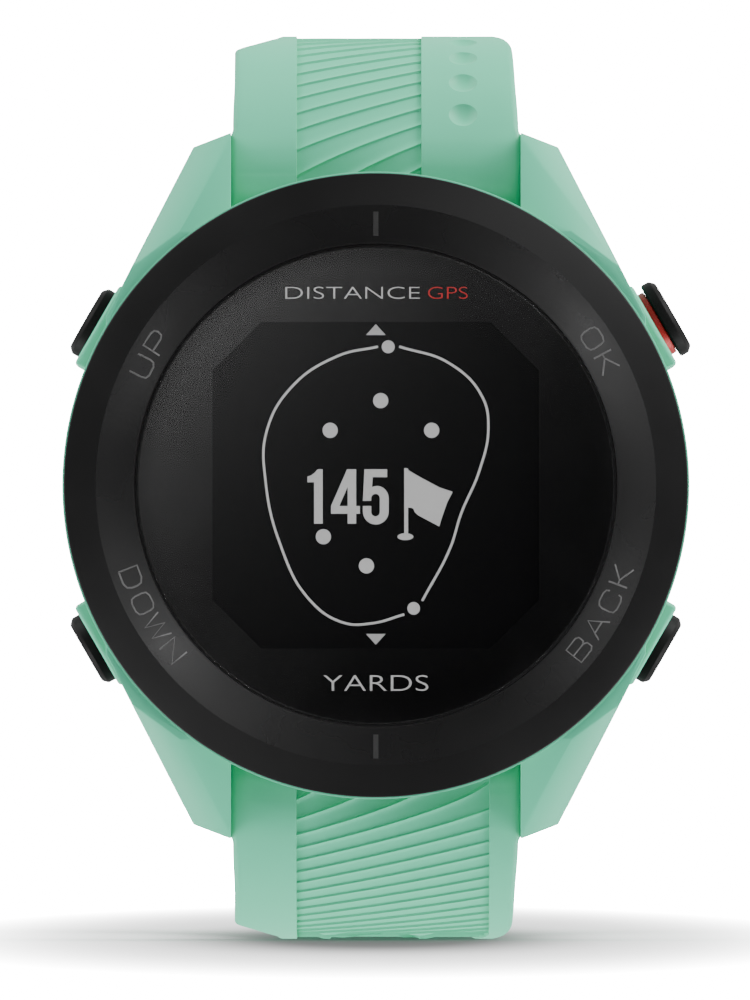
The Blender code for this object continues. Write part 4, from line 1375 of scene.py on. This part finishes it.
def make_world():
    """White to the camera; to everything else a dim room with soft lights round the dial."""
    world = bpy.data.worlds.new("soft_room")
    bpy.context.scene.world = world
    world.use_nodes = True
    tree = world.node_tree
    tree.nodes.clear()
    direction = tree.nodes.new("ShaderNodeTexCoord").outputs["Generated"]

    def towards(axis):
        node = tree.nodes.new("ShaderNodeVectorMath")
        node.operation = "DOT_PRODUCT"
        node.inputs[1].default_value = Vector(axis).normalized()
        tree.links.new(direction, node.inputs[0])
        return node.outputs["Value"]

    def cone(angle):
        return math.cos(math.radians(angle))

    front = towards((0, -1, 0))
    room = ramp(tree, front, -0.3, 0.3, ROOM_BEHIND, ROOM_AHEAD)
    for around, off, inner, outer, brightness in ROOM_LIGHTS:
        towards_light = towards(off_axis(around, off))
        spot = ramp(tree, towards_light, cone(outer), cone(inner), 0, brightness)
        room = calculate(tree, "ADD", room, spot)
    hole = ramp(tree, front, cone(9), cone(5), 0, 1)
    lit = calculate(tree, "MULTIPLY", room, calculate(tree, "SUBTRACT", 1.0, hole))
    slope = calculate(tree, "MULTIPLY", towards((-1, 0, 1)), LENS_GLOW_SLOPE)
    glow = calculate(tree, "MULTIPLY", calculate(tree, "POWER", math.e, slope), LENS_GLOW)
    glow = calculate(tree, "MINIMUM", glow, 3.0)
    strength = calculate(tree, "MULTIPLY_ADD", glow, hole, lit)
    path = tree.nodes.new("ShaderNodeLightPath").outputs["Is Camera Ray"]
    mix = tree.nodes.new("ShaderNodeMix")
    mix.data_type = "FLOAT"
    tree.links.new(path, mix.inputs["Factor"])
    tree.links.new(strength, mix.inputs["A"])
    mix.inputs["B"].default_value = BACKDROP
    background = tree.nodes.new("ShaderNodeBackground")
    background.inputs["Color"].default_value = (1, 1, 1, 1)
    tree.links.new(mix.outputs["Result"], background.inputs["Strength"])
    output = tree.nodes.new("ShaderNodeOutputWorld")
    tree.links.new(background.outputs["Background"], output.inputs["Surface"])


def soft_light(name, place, size, radiance, aim=(0, 0, 0)):
    """A square area light of a given brightness, in metres."""
    data = bpy.data.lights.new(name, "AREA")
    data.shape = "RECTANGLE"
    data.size, data.size_y = size
    data.energy = radiance * math.pi * size[0] * size[1]
    lamp = bpy.data.objects.new(name, data)
    bpy.context.scene.collection.objects.link(lamp)
    lamp.location = place
    lamp.visible_camera = False
    lamp.rotation_euler = (Vector(aim) - Vector(place)).to_track_quat("-Z", "Y").to_euler()


CAMERA_DISTANCE, CAMERA_DROP = 1.8406, 0.0157


def make_camera():
    """A long lens in front of the dial, a little below its centre."""
    data = bpy.data.cameras.new("view")
    data.sensor_fit = "HORIZONTAL"
    data.sensor_width = 36.0
    data.lens = 1270.0
    data.clip_start, data.clip_end = 0.01, 20.0
    camera = bpy.data.objects.new("view", data)
    bpy.context.scene.collection.objects.link(camera)
    aim = Vector((-0.056, BEZEL_TOP, -1.04)) * MM
    camera.location = aim - Vector((0, CAMERA_DISTANCE, CAMERA_DROP))
    camera.rotation_euler = (aim - camera.location).to_track_quat("-Z", "Y").to_euler()
    bpy.context.scene.camera = camera


BACKDROP = 20.0
LENS_GLOW, LENS_GLOW_SLOPE = 0.105, 56.0
ROOM_BEHIND, ROOM_AHEAD = 1.0, 0.28
# Direction round the dial, angle off its axis, inner and outer half angle, brightness
ROOM_LIGHTS = (
    (210, 22, 2, 6, 11.0), (38, 22, 2, 6, 11.0), (150, 22, 2, 6, 6.0), (330, 22, 2, 6, 5.0),
    (60, 42, 5, 24, 1.0), (235, 42, 5, 24, 0.4),
)
SOFTBOX_DISTANCE, SOFTBOX_SIDE = 1.4, 0.9
# Direction round the dial, angle off its axis, brightness
SOFTBOXES = ((42, 86, 12.5), (138, 86, 7.0), (222, 86, 9.0), (318, 86, 9.5))
make_floor()
make_world()
for box_number, (around, off, brightness) in enumerate(SOFTBOXES, 1):
    place = off_axis(around, off) * SOFTBOX_DISTANCE
    soft_light(f"softbox_{box_number}", place, (SOFTBOX_SIDE, SOFTBOX_SIDE), brightness)
make_camera()
